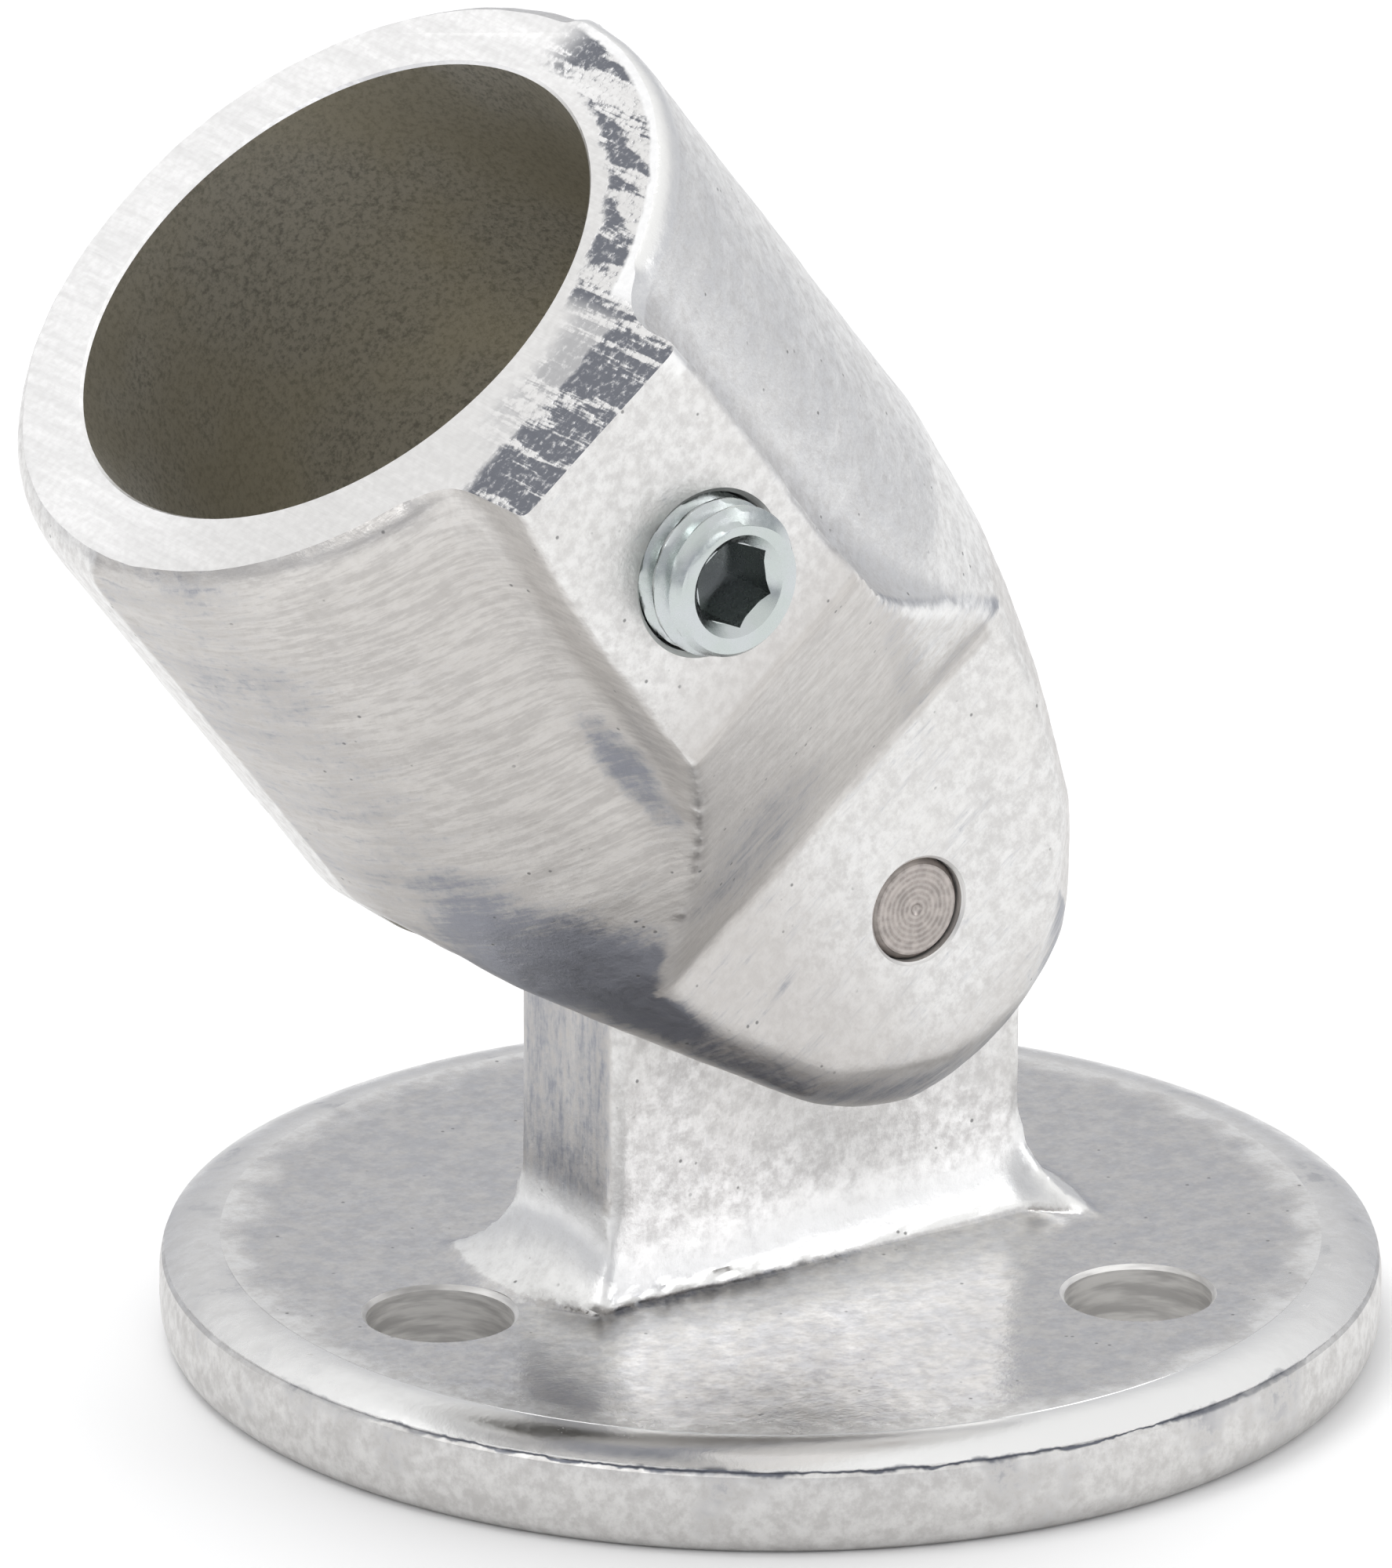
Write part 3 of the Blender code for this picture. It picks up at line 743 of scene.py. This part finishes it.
def base_values(co, lift):
    """Wear and dirt on the base casting, mixed with painted shade, painted reflections and painted
    highlights.
    """
    x, y, z = co.T
    radius = np.hypot(x, y)
    wobble = ripple(co, 3.0, 5) * 0.9 + ripple(co, 1.1, 6) * 0.5
    top = smoothstep(6.0, 6.2, z) * (1 - smoothstep(6.55, 6.75, z))
    near_foot = peak(np.abs(y), 5.9, 0.8) * (np.abs(x) < 16) * top * smoothstep(14, -10, x * np.sign(-y))
    side = smoothstep(14.9, 15.15, np.abs(x)) * (np.abs(y) < 5.1) * smoothstep(9.5, 12.5, z)
    # Tarnishing mixed with painted shade along the tongue's foot and on its narrow faces, and a painted dark
    # reflection on the front of the flat top by the rim.
    tarnish_and_painted_shade = 0.75 * near_foot + 0.52 * side + 0.06 * wobble
    frontal = smoothstep(0.2, 0.9, -(x * 0.5 + y * 0.8) / 34)
    tarnish_and_painted_shade += 0.25 * top * smoothstep(31, 33.2, radius + wobble) * frontal
    # inside: the flat top, given a painted darker, cooler reflection through its polishing and dulling
    # values.
    inside = top * (1 - smoothstep(30.5, 33.0, radius + wobble * 1.6))
    flare = (z > 6.7) * (1 - smoothstep(11, 14, z)) * smoothstep(15.0, 15.5, np.abs(x))
    # Edges, the tongue's lower part and its flares rubbed bright; the band on the flat top by the rim is a
    # painted highlight.
    wear_and_highlight = np.clip(lift * 26 - 0.25, 0, 1) * 0.9 + 0.5 * top * smoothstep(31.0, 33.5, radius + wobble * 1.6)
    wear_and_highlight += 0.8 * (1 - top) * smoothstep(15, 8, z) * (np.abs(x) < 15.6) + 0.65 * flare
    wear_and_highlight += 0.15 * (np.abs(y) > 4.6) * (z > 12)
    # Concave places made darker: tarnishing mixed with painted shade.
    hollow = np.clip(-lift * 14 - 0.5, 0, 1) * (1 - flare)
    return {"tarnish_and_painted_shade": tarnish_and_painted_shade, "hollow": hollow, "streaky": side, "wear_and_highlight": np.clip(wear_and_highlight, 0, 1),
            "polish_and_painted_reflection": inside, "dull_and_painted_shade": np.clip(0.6 * side + 0.42 * inside, 0, 1)}


def build_base_casting(size):
    """The flange and the tongue in one casting, drilled for its fixings and the pin."""
    body = combined(flange_solid(size), "UNION", tongue_solid(size), foot_solid(size))
    skinned(body, size.grain / MM, 3)
    co = coordinates(body.data)
    calm = np.where((np.abs(co[:, 1]) < 6) & (co[:, 2] > 14), 0.35, 1.0)
    calm *= np.where(co[:, 2] < 6.7, 0.35, 1.0)
    foot_line = peak(np.abs(co[:, 1]), 5.3, 0.6) * (np.abs(co[:, 0]) < 17) * (np.abs(co[:, 2] - 6.6) < 0.6)
    crumbs = 0.20 * np.clip(ripple(co, 0.9, 8) * 2.2, -0.3, 1) * foot_line
    push(body.data, (0.05 * ripple(co, 4.0, 1) + 0.035 * ripple(co, 1.5, 2)) * calm + crumbs)
    lift = bend(body.data, 5)
    co = coordinates(body.data)
    values = base_values(co, lift)
    radius = size.pin_hole_radius / MM
    pin = spun("pin_hole", [(0, -9), (radius, -9), (radius, 9), (0, 9)], 64, 1, "-Y")
    placed(pin, Matrix.Translation((0, 0, PIVOT_HEIGHT / MM)))
    under_cut = block("under", (-50, -50, -5), (50, 50, 0), 2)
    cut_together(body, *fixing_cutters(size), pin, rim_cutter(size), under_cut)
    carry_values(body.data, co, values)
    skin = cast_skin("cast_base", 0, (0, 0, 0), (1.0, 1.0, 0.2))
    drilled = drilled_face("base_drilled", 0, (0, 0, 0), (0.15, 0.15, 1))
    under = cut_face("base_underside", 0, (0, 0, 0))
    rim = cast_rim()
    finished(body, "base_casting", Matrix.Identity(4), [skin, drilled, under, rim])
    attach(body, "base")
    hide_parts("base_flange")
    return body


# ---------------------------------------------------------------- socket casting

def socket_outer(size):
    """Outside of the tube and the fork, before the ears are cut out.

    The mouth's edge is round, but crisp on the side that faces -Y and +X. A little mould flash
    stands proud along the parting plane."""
    tube, mouth, floor = size.tube_radius / MM, size.mouth / MM, size.bore_floor / MM
    low = [(tube, floor), (tube - 0.8, 12), (tube - 2.2, 4), (tube - 4.4, -4), (tube - 8, -11),
           (tube - 12, -14.5), (0, -14.5)]
    edge = size.mouth_edge / MM
    round_edge = [(tube - edge + edge * math.sin(a), mouth + 0.25 - edge + edge * math.cos(a))
                  for a in np.radians((18, 36, 54, 72, 90))]
    start = round_edge[0][0]
    full = [(0, mouth + 1.2), (start - 0.5, mouth + 1.2)] + round_edge
    body = spun("tube", full + low, 144)
    near = spun("near_half", [(0, mouth + 0.2), (tube - 0.7, mouth + 0.2), (tube - 0.1, mouth - 0.5),
                              (tube, mouth - 1.2), (tube, floor), (0, floor)], 144)
    keep = block("keep", (-2, -40, -40), (40, 0.0, 70))
    combined(near, "INTERSECT", keep)
    fins = []
    for side, proud in ((1, 0.35), (-1, 0.25)):
        rings = []
        for s, rise in ((mouth - 0.3, proud - 0.8), (mouth - 1.3, proud), (mouth - 9, proud * 0.4),
                        (floor, 0.1)):
            foot, tip = side * (tube - 1.5), side * (tube + rise)
            rings.append([(foot, -0.9, s), (tip, -0.25, s), (tip, 0.25, s), (foot, 0.9, s)])
        fins.append(lofted("flash", rings))
    return combined(body, "UNION", near, *fins)


def boss_solid(size):
    """Boss and ramp pad: straight flanks by the mouth, spreading out to the ears' corners."""
    # Height above the pivot, then the left and the right flank.
    stations = ((54.5, -7.5, 6.0), (52.0, -7.7, 6.0), (51.2, -7.8, 6.0), (49.8, -8.0, 6.1), (45, -8.7, 6.1),
                (40, -9.0, 6.1), (35, -9.1, 6.0), (31, -9.15, 6.2), (27, -9.3, 7.0), (23, -9.8, 8.4),
                (19, -10.7, 10.4), (15, -12.4, 12.6), (10, -14.6, 14.6))
    reach, tube, fillet = size.boss_height / MM, size.tube_radius / MM, size.boss_fillet / MM
    rings = []
    for y in (-reach - 1.5, -reach + 1.0):
        rings.append([(w, y, s) for s, w, _ in stations] + [(w, y, s) for s, _, w in reversed(stations)])
    for turn in np.linspace(0, 1, 7):
        left = [fillet_point(w, -1, tube, fillet, turn, s) for s, w, _ in stations]
        right = [fillet_point(w, 1, tube, fillet, turn, s) for s, _, w in reversed(stations)]
        rings.append(left + right)
    rings.append([(w * 0.8, -14.0, s) for w, _, s in rings[-1]])
    return lofted("boss", rings)


def fillet_point(w, side, tube, fillet, turn, s):
    """A point on the fillet between an upright flank and the round tube. The fillet runs out into
    the ears, and follows the tube's round mouth edge."""
    lip = min(max((s - 50.2) / 1.8, 0.0), 1.0) if side < 0 else 0.0
    fillet *= min(max((s - 13) / 12, 0.02), 1.0) * (1 - 0.3 * lip)
    tube -= 1.1 * lip ** 2
    cw = abs(w) + fillet
    cy = math.sqrt((tube + fillet) ** 2 - cw ** 2)
    sweep = math.atan2(cy, cw) * turn * 0.97
    return (side * (cw - fillet * math.cos(sweep)), -cy + fillet * math.sin(sweep), s)


def ear_solid(size):
    """The fork seen along the pin, with draft from the mould's parting plane at its middle."""
    radius, tube, mouth = size.ear_radius / MM, size.tube_radius / MM, size.mouth / MM
    rings = []
    for y, inset in ((-32, 1.9), (-16, 1.6), (-15, 1.35), (-12.6, 0.3), (-9, 0.0),
                     (9, 0.0), (12.6, 0.3), (15, 1.35), (16, 1.6), (32, 1.9)):
        shoulder = Vector((20.0 - inset, 12.5))
        lean = math.atan2(shoulder.y, shoulder.x)
        tangent = math.degrees(lean - math.acos((radius - inset) / shoulder.length))
        side = tube + 1.0
        outline = [(-side, mouth + 6), (-side, 24), (-shoulder.x, shoulder.y)]
        outline += arc(0, 0, radius - inset, 180 - tangent, 360 + tangent, 41)
        outline += [(shoulder.x, shoulder.y), (side, 24), (side, mouth + 6)]
        rings.append([(x, y, z) for x, z in outline])
    return lofted("ears", rings)


def ramp_cutters(size):
    """What lies outside the ears' flats and the ramps, on both sides, and above the boss's flat."""
    flat, foot, top = size.fork_half_width / MM, size.ramp_foot / MM, size.ramp_top / MM
    boss = size.boss_height / MM
    cutters = []
    for side in (-1, 1):
        profile = [(flat, -30), (flat, foot), (boss, top), (boss, 70), (45, 70), (45, -30)]
        rings = [[(x, side * y, z) for y, z in profile] for x in (-40, 40)]
        cutters.append(lofted("ramp", rings))
    return cutters


def socket_cutters(size):
    """Everything machined into the socket casting."""
    bore, mouth, floor = size.bore_radius / MM, size.mouth / MM, size.bore_floor / MM
    pin, tapped = size.pin_hole_radius / MM, size.tapped_radius / MM
    flat, boss = size.fork_half_width / MM, size.boss_height / MM
    slot, slot_top = size.slot_half_width / MM, size.slot_depth / MM
    bore_cut = spun("bore", [(0, floor), (bore, floor), (bore, mouth + 3), (0, mouth + 3)], 160, 2)
    edge_cut = spun("bore_edge", [(0, mouth - 1), (bore - 0.85, mouth - 1), (bore + 0.18, mouth + 0.01),
                                  (bore + 3, mouth + 3), (0, mouth + 3)], 160, 1)
    face_cut = block("face", (-60, -60, mouth), (60, 60, mouth + 40), 1)
    slot_cut = block("slot", (-40, -slot, -40), (40, slot, slot_top), 2)
    profile = [(0, -flat - 4), (pin + 0.2, -flat - 4), (pin + 0.2, -flat), (pin, -flat + 0.2),
               (pin, flat - 0.2), (pin + 0.2, flat), (pin + 0.2, flat + 4), (0, flat + 4)]
    pin_cut = spun("pin_hole", profile, 72, 3, "-Y")
    wall = [(tapped + 0.3, boss + 4), (tapped + 0.3, boss - 0.05), (tapped, boss - 0.3)]
    depth, pitch = boss - 0.9, bpy.context.scene.stanchion_fasteners.thread_pitch / MM
    while depth > 12:
        wall += [(tapped, depth), (tapped + 0.35, depth - 0.79)]
        depth -= pitch
    profile = [(0, boss + 4)] + wall + [(tapped, 10), (0, 10)]
    tapped_cut = spun("tapped", profile, 64, 3, "-Y")
    placed(tapped_cut, Matrix.Translation((size.screw_offset / MM, 0, size.screw_height / MM)))
    return [bore_cut, edge_cut, face_cut, slot_cut, pin_cut, tapped_cut]


def socket_values(co, lift):
    """Wear and dirt on the socket casting, mixed with painted shade, painted reflections and painted
    highlights, in the socket's own directions.
    """
    w, y, s = co.T
    wobble, small = ripple(co, 3.4, 11), ripple(co, 1.3, 12)
    near = y < 0
    radius = np.hypot(w, y)
    ramp_y = -15 - (s - 10.3) * 0.655
    on_ramp = peak(y, ramp_y, 0.6) * near * (s > 9.8) * (s < 31) * (np.abs(w + 1) < 15)
    on_ear = peak(y, -15, 0.4) * (s < 10.5)
    on_boss = peak(y, -28.3, 0.4)
    round_face = near * (1 - np.clip(on_ramp + on_ear + on_boss, 0, 1))
    left = smoothstep(-4, -10, w)
    # Dulling mixed with painted shade: the tube's lower left side, which mirrors the shaded floor, the ramp,
    # the boss's lower part and the ears made darker.
    dull_and_painted_shade = round_face * left * (0.85 - 0.25 * smoothstep(44, 54, s)) + 0.75 * on_ramp
    dull_and_painted_shade += 0.55 * near * smoothstep(-14.6, -13.8, y) * (s < 12) * (w > 0)
    dull_and_painted_shade += 0.7 * on_boss * smoothstep(38, 31, s)
    dull_and_painted_shade += on_ear * (0.85 * smoothstep(0, -10, w) + 0.35 * smoothstep(-6, -9, s))
    # Tarnishing mixed with painted shade and painted dark reflections: slate patches low on the left of the
    # tube, by the boss and on the ramp, dark lines by the ear's flat and along the ramp's crease.
    tarnish_and_painted_shade = on_ramp * 0.48 * blob(co, (-6, -18.5, 15), (9, 6, 7)) + 0.05 * wobble * left
    patches = ((0.62, (-16.5, -14.5, 13), (6, 7, 8)), (0.68, (-19, -11, 17), (6, 8, 10)),
               (0.85, (-10.5, -21.6, 28), (1.7, 3.2, 8)), (0.5, (-15, -16, 10), (8, 8, 7)))
    for amount, centre, radii in patches:
        tarnish_and_painted_shade += amount * round_face * blob(co, centre, radii)
    tarnish_and_painted_shade += 0.35 * round_face * smoothstep(-17.5, -21, w)
    tarnish_and_painted_shade += 0.68 * peak(y, -13.4, 1.3) * near * (s < 10) * (w < 8)
    crease = peak(y, ramp_y + 0.5, 0.5) * near * (s > 10.5) * (s < 26)
    tarnish_and_painted_shade += 0.9 * crease * smoothstep(5.5, 7, w)
    streaky = 0.7 * on_ramp + round_face * left
    # The bright line round the mouth's outer edge on the near side is a painted highlight; the tube's near
    # right side is made lighter as well.
    rim = (s > 50.6) * near * smoothstep(21.0, 21.8, radius) * smoothstep(3, 6, w)
    wear_and_highlight = 0.6 * np.clip(lift * 30 - 0.3, 0, 1) + 0.9 * rim
    wear_and_highlight += 0.5 * near * smoothstep(6, 10, w) * smoothstep(9, 14, s)
    # Concave places low on the left made darker: tarnishing mixed with painted shade.
    hollow = 0.45 * np.clip(-lift * 14 - 0.45, 0, 1) * smoothstep(26, 12, s) * (1 - 0.8 * smoothstep(0, 3, w))
    return {"tarnish_and_painted_shade": tarnish_and_painted_shade + 0.08 * small * (tarnish_and_painted_shade > 0.1), "hollow": hollow,
            "streaky": np.clip(streaky, 0, 1), "wear_and_highlight": np.clip(wear_and_highlight, 0, 1), "polish_and_painted_reflection": np.zeros(len(co)),
            "dull_and_painted_shade": np.clip(dull_and_painted_shade, 0, 1)}


def build_socket_casting(size):
    """The pipe socket with its fork and boss, bored, slotted, drilled and tapped."""
    body = combined(socket_outer(size), "UNION", boss_solid(size))
    combined(body, "INTERSECT", ear_solid(size))
    combined(body, "DIFFERENCE", *ramp_cutters(size))
    skinned(body, size.grain / MM, 6)
    co = coordinates(body.data)
    push(body.data, 0.06 * ripple(co, 5.0, 3) + 0.035 * ripple(co, 1.6, 4))
    lift = bend(body.data, 5)
    co = coordinates(body.data)
    values = socket_values(co, lift)
    cut_together(body, *socket_cutters(size))
    carry_values(body.data, co, values)
    centre = (0, 0, PIVOT_HEIGHT)
    skin = cast_skin("cast_socket", -TILT, centre, (0.13, 0.13, 1.0))
    ground = cut_face("mouth_ground", -TILT, centre)
    bored = bored_face("bore_oxide", -TILT, centre)
    drilled = drilled_face("socket_drilled", -TILT, centre, (0.15, 1, 0.15))
    finished(body, "socket_casting", TO_SOCKET, [skin, ground, bored, drilled])
    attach(body, "socket")
    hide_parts("swivel_socket")
    return body


# ---------------------------------------------------------------- pin and set screw

def build_pivot_pin(size):
    """A turned pin with a chamfer and a shallow centre mark at each end."""
    radius, half, chamfer = size.pin_radius / MM, size.pin_half_length / MM, size.pin_chamfer / MM
    end = [(0, half - 0.12), (0.22, half - 0.10), (0.38, half), (radius - chamfer - 0.1, half),
           (radius - chamfer * 0.8, half - 0.03), (radius - 0.12, half - chamfer * 0.7),
           (radius, half - chamfer)]
    profile = end + [(r, -h) for r, h in reversed(end)]
    pin = placed(spun("pin", profile, 96, 0, "-Y"), Matrix.Translation((0, 0, PIVOT_HEIGHT / MM)))
    finished(pin, "pin_turned", Matrix.Identity(4), [turned_steel()], 30)
    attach(pin, "base")
    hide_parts("pivot_pin")
    return pin


def thread_skin(size, name):
    """The threaded outside: one tooth profile spun along its helix, faded out by the end chamfers."""
    radius, long = size.screw_radius / MM, size.screw_length / MM
    pitch, depth = size.thread_pitch / MM, size.thread_depth / MM
    steps, rows = 72, 12  # around the thread, and along each pitch
    heights = np.linspace(0, long, int(rows * long / pitch) + 1)
    bm = turned([(radius, -h) for h in heights], steps)
    for vert in bm.verts:
        turn = math.atan2(vert.co.y, vert.co.x) / math.tau
        phase = (-vert.co.z / pitch + turn - 0.15) % 1.0
        tooth = min(abs(phase - 0.5) * 2, 1.0)
        cut = depth * min(max((tooth - 0.16) / 0.72, 0.0), 1.0)
        from_end = min(-vert.co.z, long + vert.co.z)
        limit = radius - 0.6 + from_end * 0.9
        reach = min(radius - cut, max(limit, radius - 0.6))
        vert.co.xy = vert.co.xy.normalized() * reach
    for loop_height in (0, -long):
        rim = [e for e in bm.edges if e.is_boundary and abs(e.verts[0].co.z - loop_height) < 1e-4]
        bmesh.ops.contextual_create(bm, geom=rim)
    return new_object(name, bm)


def build_set_screw(size, socket):
    """A socket set screw: rolled thread, countersunk hexagon socket and a cup point."""
    key = size.key_across_flats / MM / 2 / math.cos(math.radians(30))
    depth, long = size.key_depth / MM, size.screw_length / MM
    screw = thread_skin(size, "screw")
    sink = spun("sink", [(0, -0.7), (2.45, -0.7), (3.15, 0.02), (3.3, 2), (0, 2)], 72)
    cup = spun("cup", [(0, -long + 1.0), (2.6, -long - 0.01), (2.6, -long - 2), (0, -long - 2)], 64)
    hexagon = arc(0, 0, key, 0, 300, 6)
    hollow = lofted("key", [[(x, y, z) for x, y in hexagon] for z in (-depth, 1)], 1)
    drill = spun("drill", [(0, -depth - 1.0), (key * 0.82, -depth + 0.05), (key * 0.82, -depth + 0.3),
                           (0, -depth + 0.3)], 48, 1)
    combined(hollow, "UNION", drill)
    cut_together(screw, sink, cup, hollow)
    outer_end = -(socket.boss_height + size.screw_stands_out) / MM
    place = Matrix.Translation((socket.screw_offset / MM, outer_end, socket.screw_height / MM))
    placed(screw, place @ Matrix.Rotation(math.pi / 2, 4, "X"))
    # The second zinc is the same plate with painted shade, for the walls of the hexagon socket.
    plated = [zinc_plate("zinc"), zinc_plate("zinc_painted_shade_in_socket", 0.55)]
    finished(screw, "set_screw_threaded", TO_SOCKET, plated, 38)
    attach(screw, "screw")
    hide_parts("set_screw")
    return screw


# ---------------------------------------------------------------- studio

def build_floor(settings):
    """A plain round floor of pale paper."""
    bm = bmesh.new()
    bmesh.ops.create_circle(bm, cap_ends=True, segments=96, radius=settings.floor_radius / MM)
    floor = new_object("floor", bm)
    s = Shade("floor_paper")
    shade = s.noise(s.place((0, 0, 0), 0, (1, 1, 1)), 3, 2)
    tone = s.mix(s.step(shade, 0.3, 0.7), settings.floor_colour, scaled(settings.floor_colour, 0.985))
    paper = s.set(base_color=tone, roughness=0.8)
    finished(floor, "floor", Matrix.Translation((0, 0, -0.02 * MM)), [paper])


def build_lights():
    """Three softboxes, above, in front and to the left."""
    for name, place, width, depth, power in (("top_softbox", (-0.2, 0.25, 1.25), 0.6, 0.6, 5.0),
                                             ("front_softbox", (0.72, -1.02, 0.42), 0.8, 0.5, 2.4),
                                             ("left_softbox", (-1.2, -0.2, 0.8), 0.5, 0.5, 1.8)):
        light = bpy.data.lights.new(name, "AREA")
        light.shape = "RECTANGLE"
        light.size, light.size_y = width, depth
        light.energy = power
        lamp = bpy.data.objects.new(name, light)
        bpy.context.scene.collection.objects.link(lamp)
        lamp.location = place
        lamp.rotation_euler = (Vector((0, 0, 0.03)) - Vector(place)).to_track_quat("-Z", "Y").to_euler()


def build_room():
    """A dark band at the horizon under a bright ceiling, for the castings to mirror."""
    world = bpy.data.worlds.new("room")
    bpy.context.scene.world = world
    world.use_nodes = True
    nodes, links = world.node_tree.nodes, world.node_tree.links
    direction = nodes.new("ShaderNodeTexCoord").outputs["Generated"]
    split = nodes.new("ShaderNodeSeparateXYZ")
    links.new(direction, split.inputs[0])
    ramp = nodes.new("ShaderNodeValToRGB")
    links.new(split.outputs["Z"], ramp.inputs[0])
    stops = ((0.0, (0.62, 0.63, 0.66)), (0.08, (0.50, 0.51, 0.55)), (0.22, (0.60, 0.61, 0.64)),
             (0.42, (0.74, 0.74, 0.75)), (0.62, (0.98, 0.98, 0.98)), (1.0, (1.0, 1.0, 1.0)))
    ramp.color_ramp.elements[0].position = 0.0
    ramp.color_ramp.elements[1].position = 1.0
    for position, _ in stops[1:-1]:
        ramp.color_ramp.elements.new(position)
    for element, (_, tone) in zip(ramp.color_ramp.elements, stops):
        element.color = (*tone, 1.0)
    background = nodes["Background"]
    links.new(ramp.outputs[0], background.inputs["Color"])
    background.inputs["Strength"].default_value = 1.0


def build_camera(settings):
    """A long lens from the left front, a little above, with a slight roll."""
    azimuth, elevation, roll = map(math.radians, (-35.288, 20.395, 0.255))
    back = Vector((math.sin(azimuth) * math.cos(elevation), -math.cos(azimuth) * math.cos(elevation),
                   math.sin(elevation)))
    right = Vector((math.cos(azimuth), math.sin(azimuth), 0))
    up = back.cross(right)
    across = math.cos(roll) * right + math.sin(roll) * up
    upward = math.cos(roll) * up - math.sin(roll) * right
    matrix = Matrix((across, upward, back)).transposed().to_4x4()
    matrix.translation = (-0.780096, -1.094258, 0.534666)
    lens = bpy.data.cameras.new("camera")
    lens.sensor_width = 36.0
    lens.lens = settings.camera_lens
    lens.clip_start, lens.clip_end = 0.05, 20.0
    camera = bpy.data.objects.new("camera", lens)
    bpy.context.scene.collection.objects.link(camera)
    camera.matrix_world = matrix
    bpy.context.scene.camera = camera


# ---------------------------------------------------------------- operators, panel, registration

class STANCHION_OT_base_casting(bpy.types.Operator):
    """Build the flange and tongue casting"""
    bl_idname = "stanchion.base_casting"
    bl_label = "Base casting"

    def execute(self, context):
        build_base_casting(context.scene.stanchion_base)
        return {"FINISHED"}


class STANCHION_OT_socket_casting(bpy.types.Operator):
    """Build the swivelling pipe socket casting"""
    bl_idname = "stanchion.socket_casting"
    bl_label = "Socket casting"

    def execute(self, context):
        build_socket_casting(context.scene.stanchion_socket)
        return {"FINISHED"}


class STANCHION_OT_pivot_pin(bpy.types.Operator):
    """Build the turned pivot pin"""
    bl_idname = "stanchion.pivot_pin"
    bl_label = "Pivot pin"

    def execute(self, context):
        build_pivot_pin(context.scene.stanchion_fasteners)
        return {"FINISHED"}


class STANCHION_OT_set_screw(bpy.types.Operator):
    """Build the threaded set screw"""
    bl_idname = "stanchion.set_screw"
    bl_label = "Set screw"

    def execute(self, context):
        build_set_screw(context.scene.stanchion_fasteners, context.scene.stanchion_socket)
        return {"FINISHED"}


class STANCHION_OT_studio(bpy.types.Operator):
    """Set the floor, the room, the lights and the camera"""
    bl_idname = "stanchion.studio"
    bl_label = "Studio"

    def execute(self, context):
        settings = context.scene.stanchion_studio
        build_floor(settings)
        build_lights()
        build_room()
        build_camera(settings)
        context.scene.view_settings.view_transform = "Standard"
        return {"FINISHED"}


class VIEW3D_PT_stanchion(bpy.types.Panel):
    bl_label = "Stanchion base"
    bl_idname = "VIEW3D_PT_stanchion"
    bl_space_type = "VIEW_3D"
    bl_region_type = "UI"
    bl_category = "Stanchion base"

    def draw(self, context):
        scene = context.scene
        for group, operators in GROUPS.items():
            box = self.layout.box()
            settings = getattr(scene, group)
            for name in settings.__annotations__:
                box.prop(settings, name)
            for operator in operators:
                box.operator(operator)


GROUPS = {
    "stanchion_base": ["stanchion.base_casting"],
    "stanchion_socket": ["stanchion.socket_casting"],
    "stanchion_fasteners": ["stanchion.pivot_pin", "stanchion.set_screw"],
    "stanchion_finish": [],
    "stanchion_studio": ["stanchion.studio"],
}
SETTINGS = {
    "stanchion_base": BaseCastingSizes,
    "stanchion_socket": SocketCastingSizes,
    "stanchion_fasteners": FastenerSizes,
    "stanchion_finish": Finishes,
    "stanchion_studio": StudioSettings,
}
CLASSES = (BaseCastingSizes, SocketCastingSizes, FastenerSizes, Finishes, StudioSettings,
           STANCHION_OT_base_casting, STANCHION_OT_socket_casting, STANCHION_OT_pivot_pin,
           STANCHION_OT_set_screw, STANCHION_OT_studio, VIEW3D_PT_stanchion)


def register():
    for cls in CLASSES:
        bpy.utils.register_class(cls)
    for name, group in SETTINGS.items():
        setattr(bpy.types.Scene, name, PointerProperty(type=group))


def unregister():
    for name in SETTINGS:
        delattr(bpy.types.Scene, name)
    for cls in reversed(CLASSES):
        bpy.utils.unregister_class(cls)


def main():
    register()
    bpy.ops.stanchion.studio()
    bpy.ops.stanchion.base_casting()
    bpy.ops.stanchion.socket_casting()
    bpy.ops.stanchion.pivot_pin()
    bpy.ops.stanchion.set_screw()


if __name__ == "__main__":
    main()
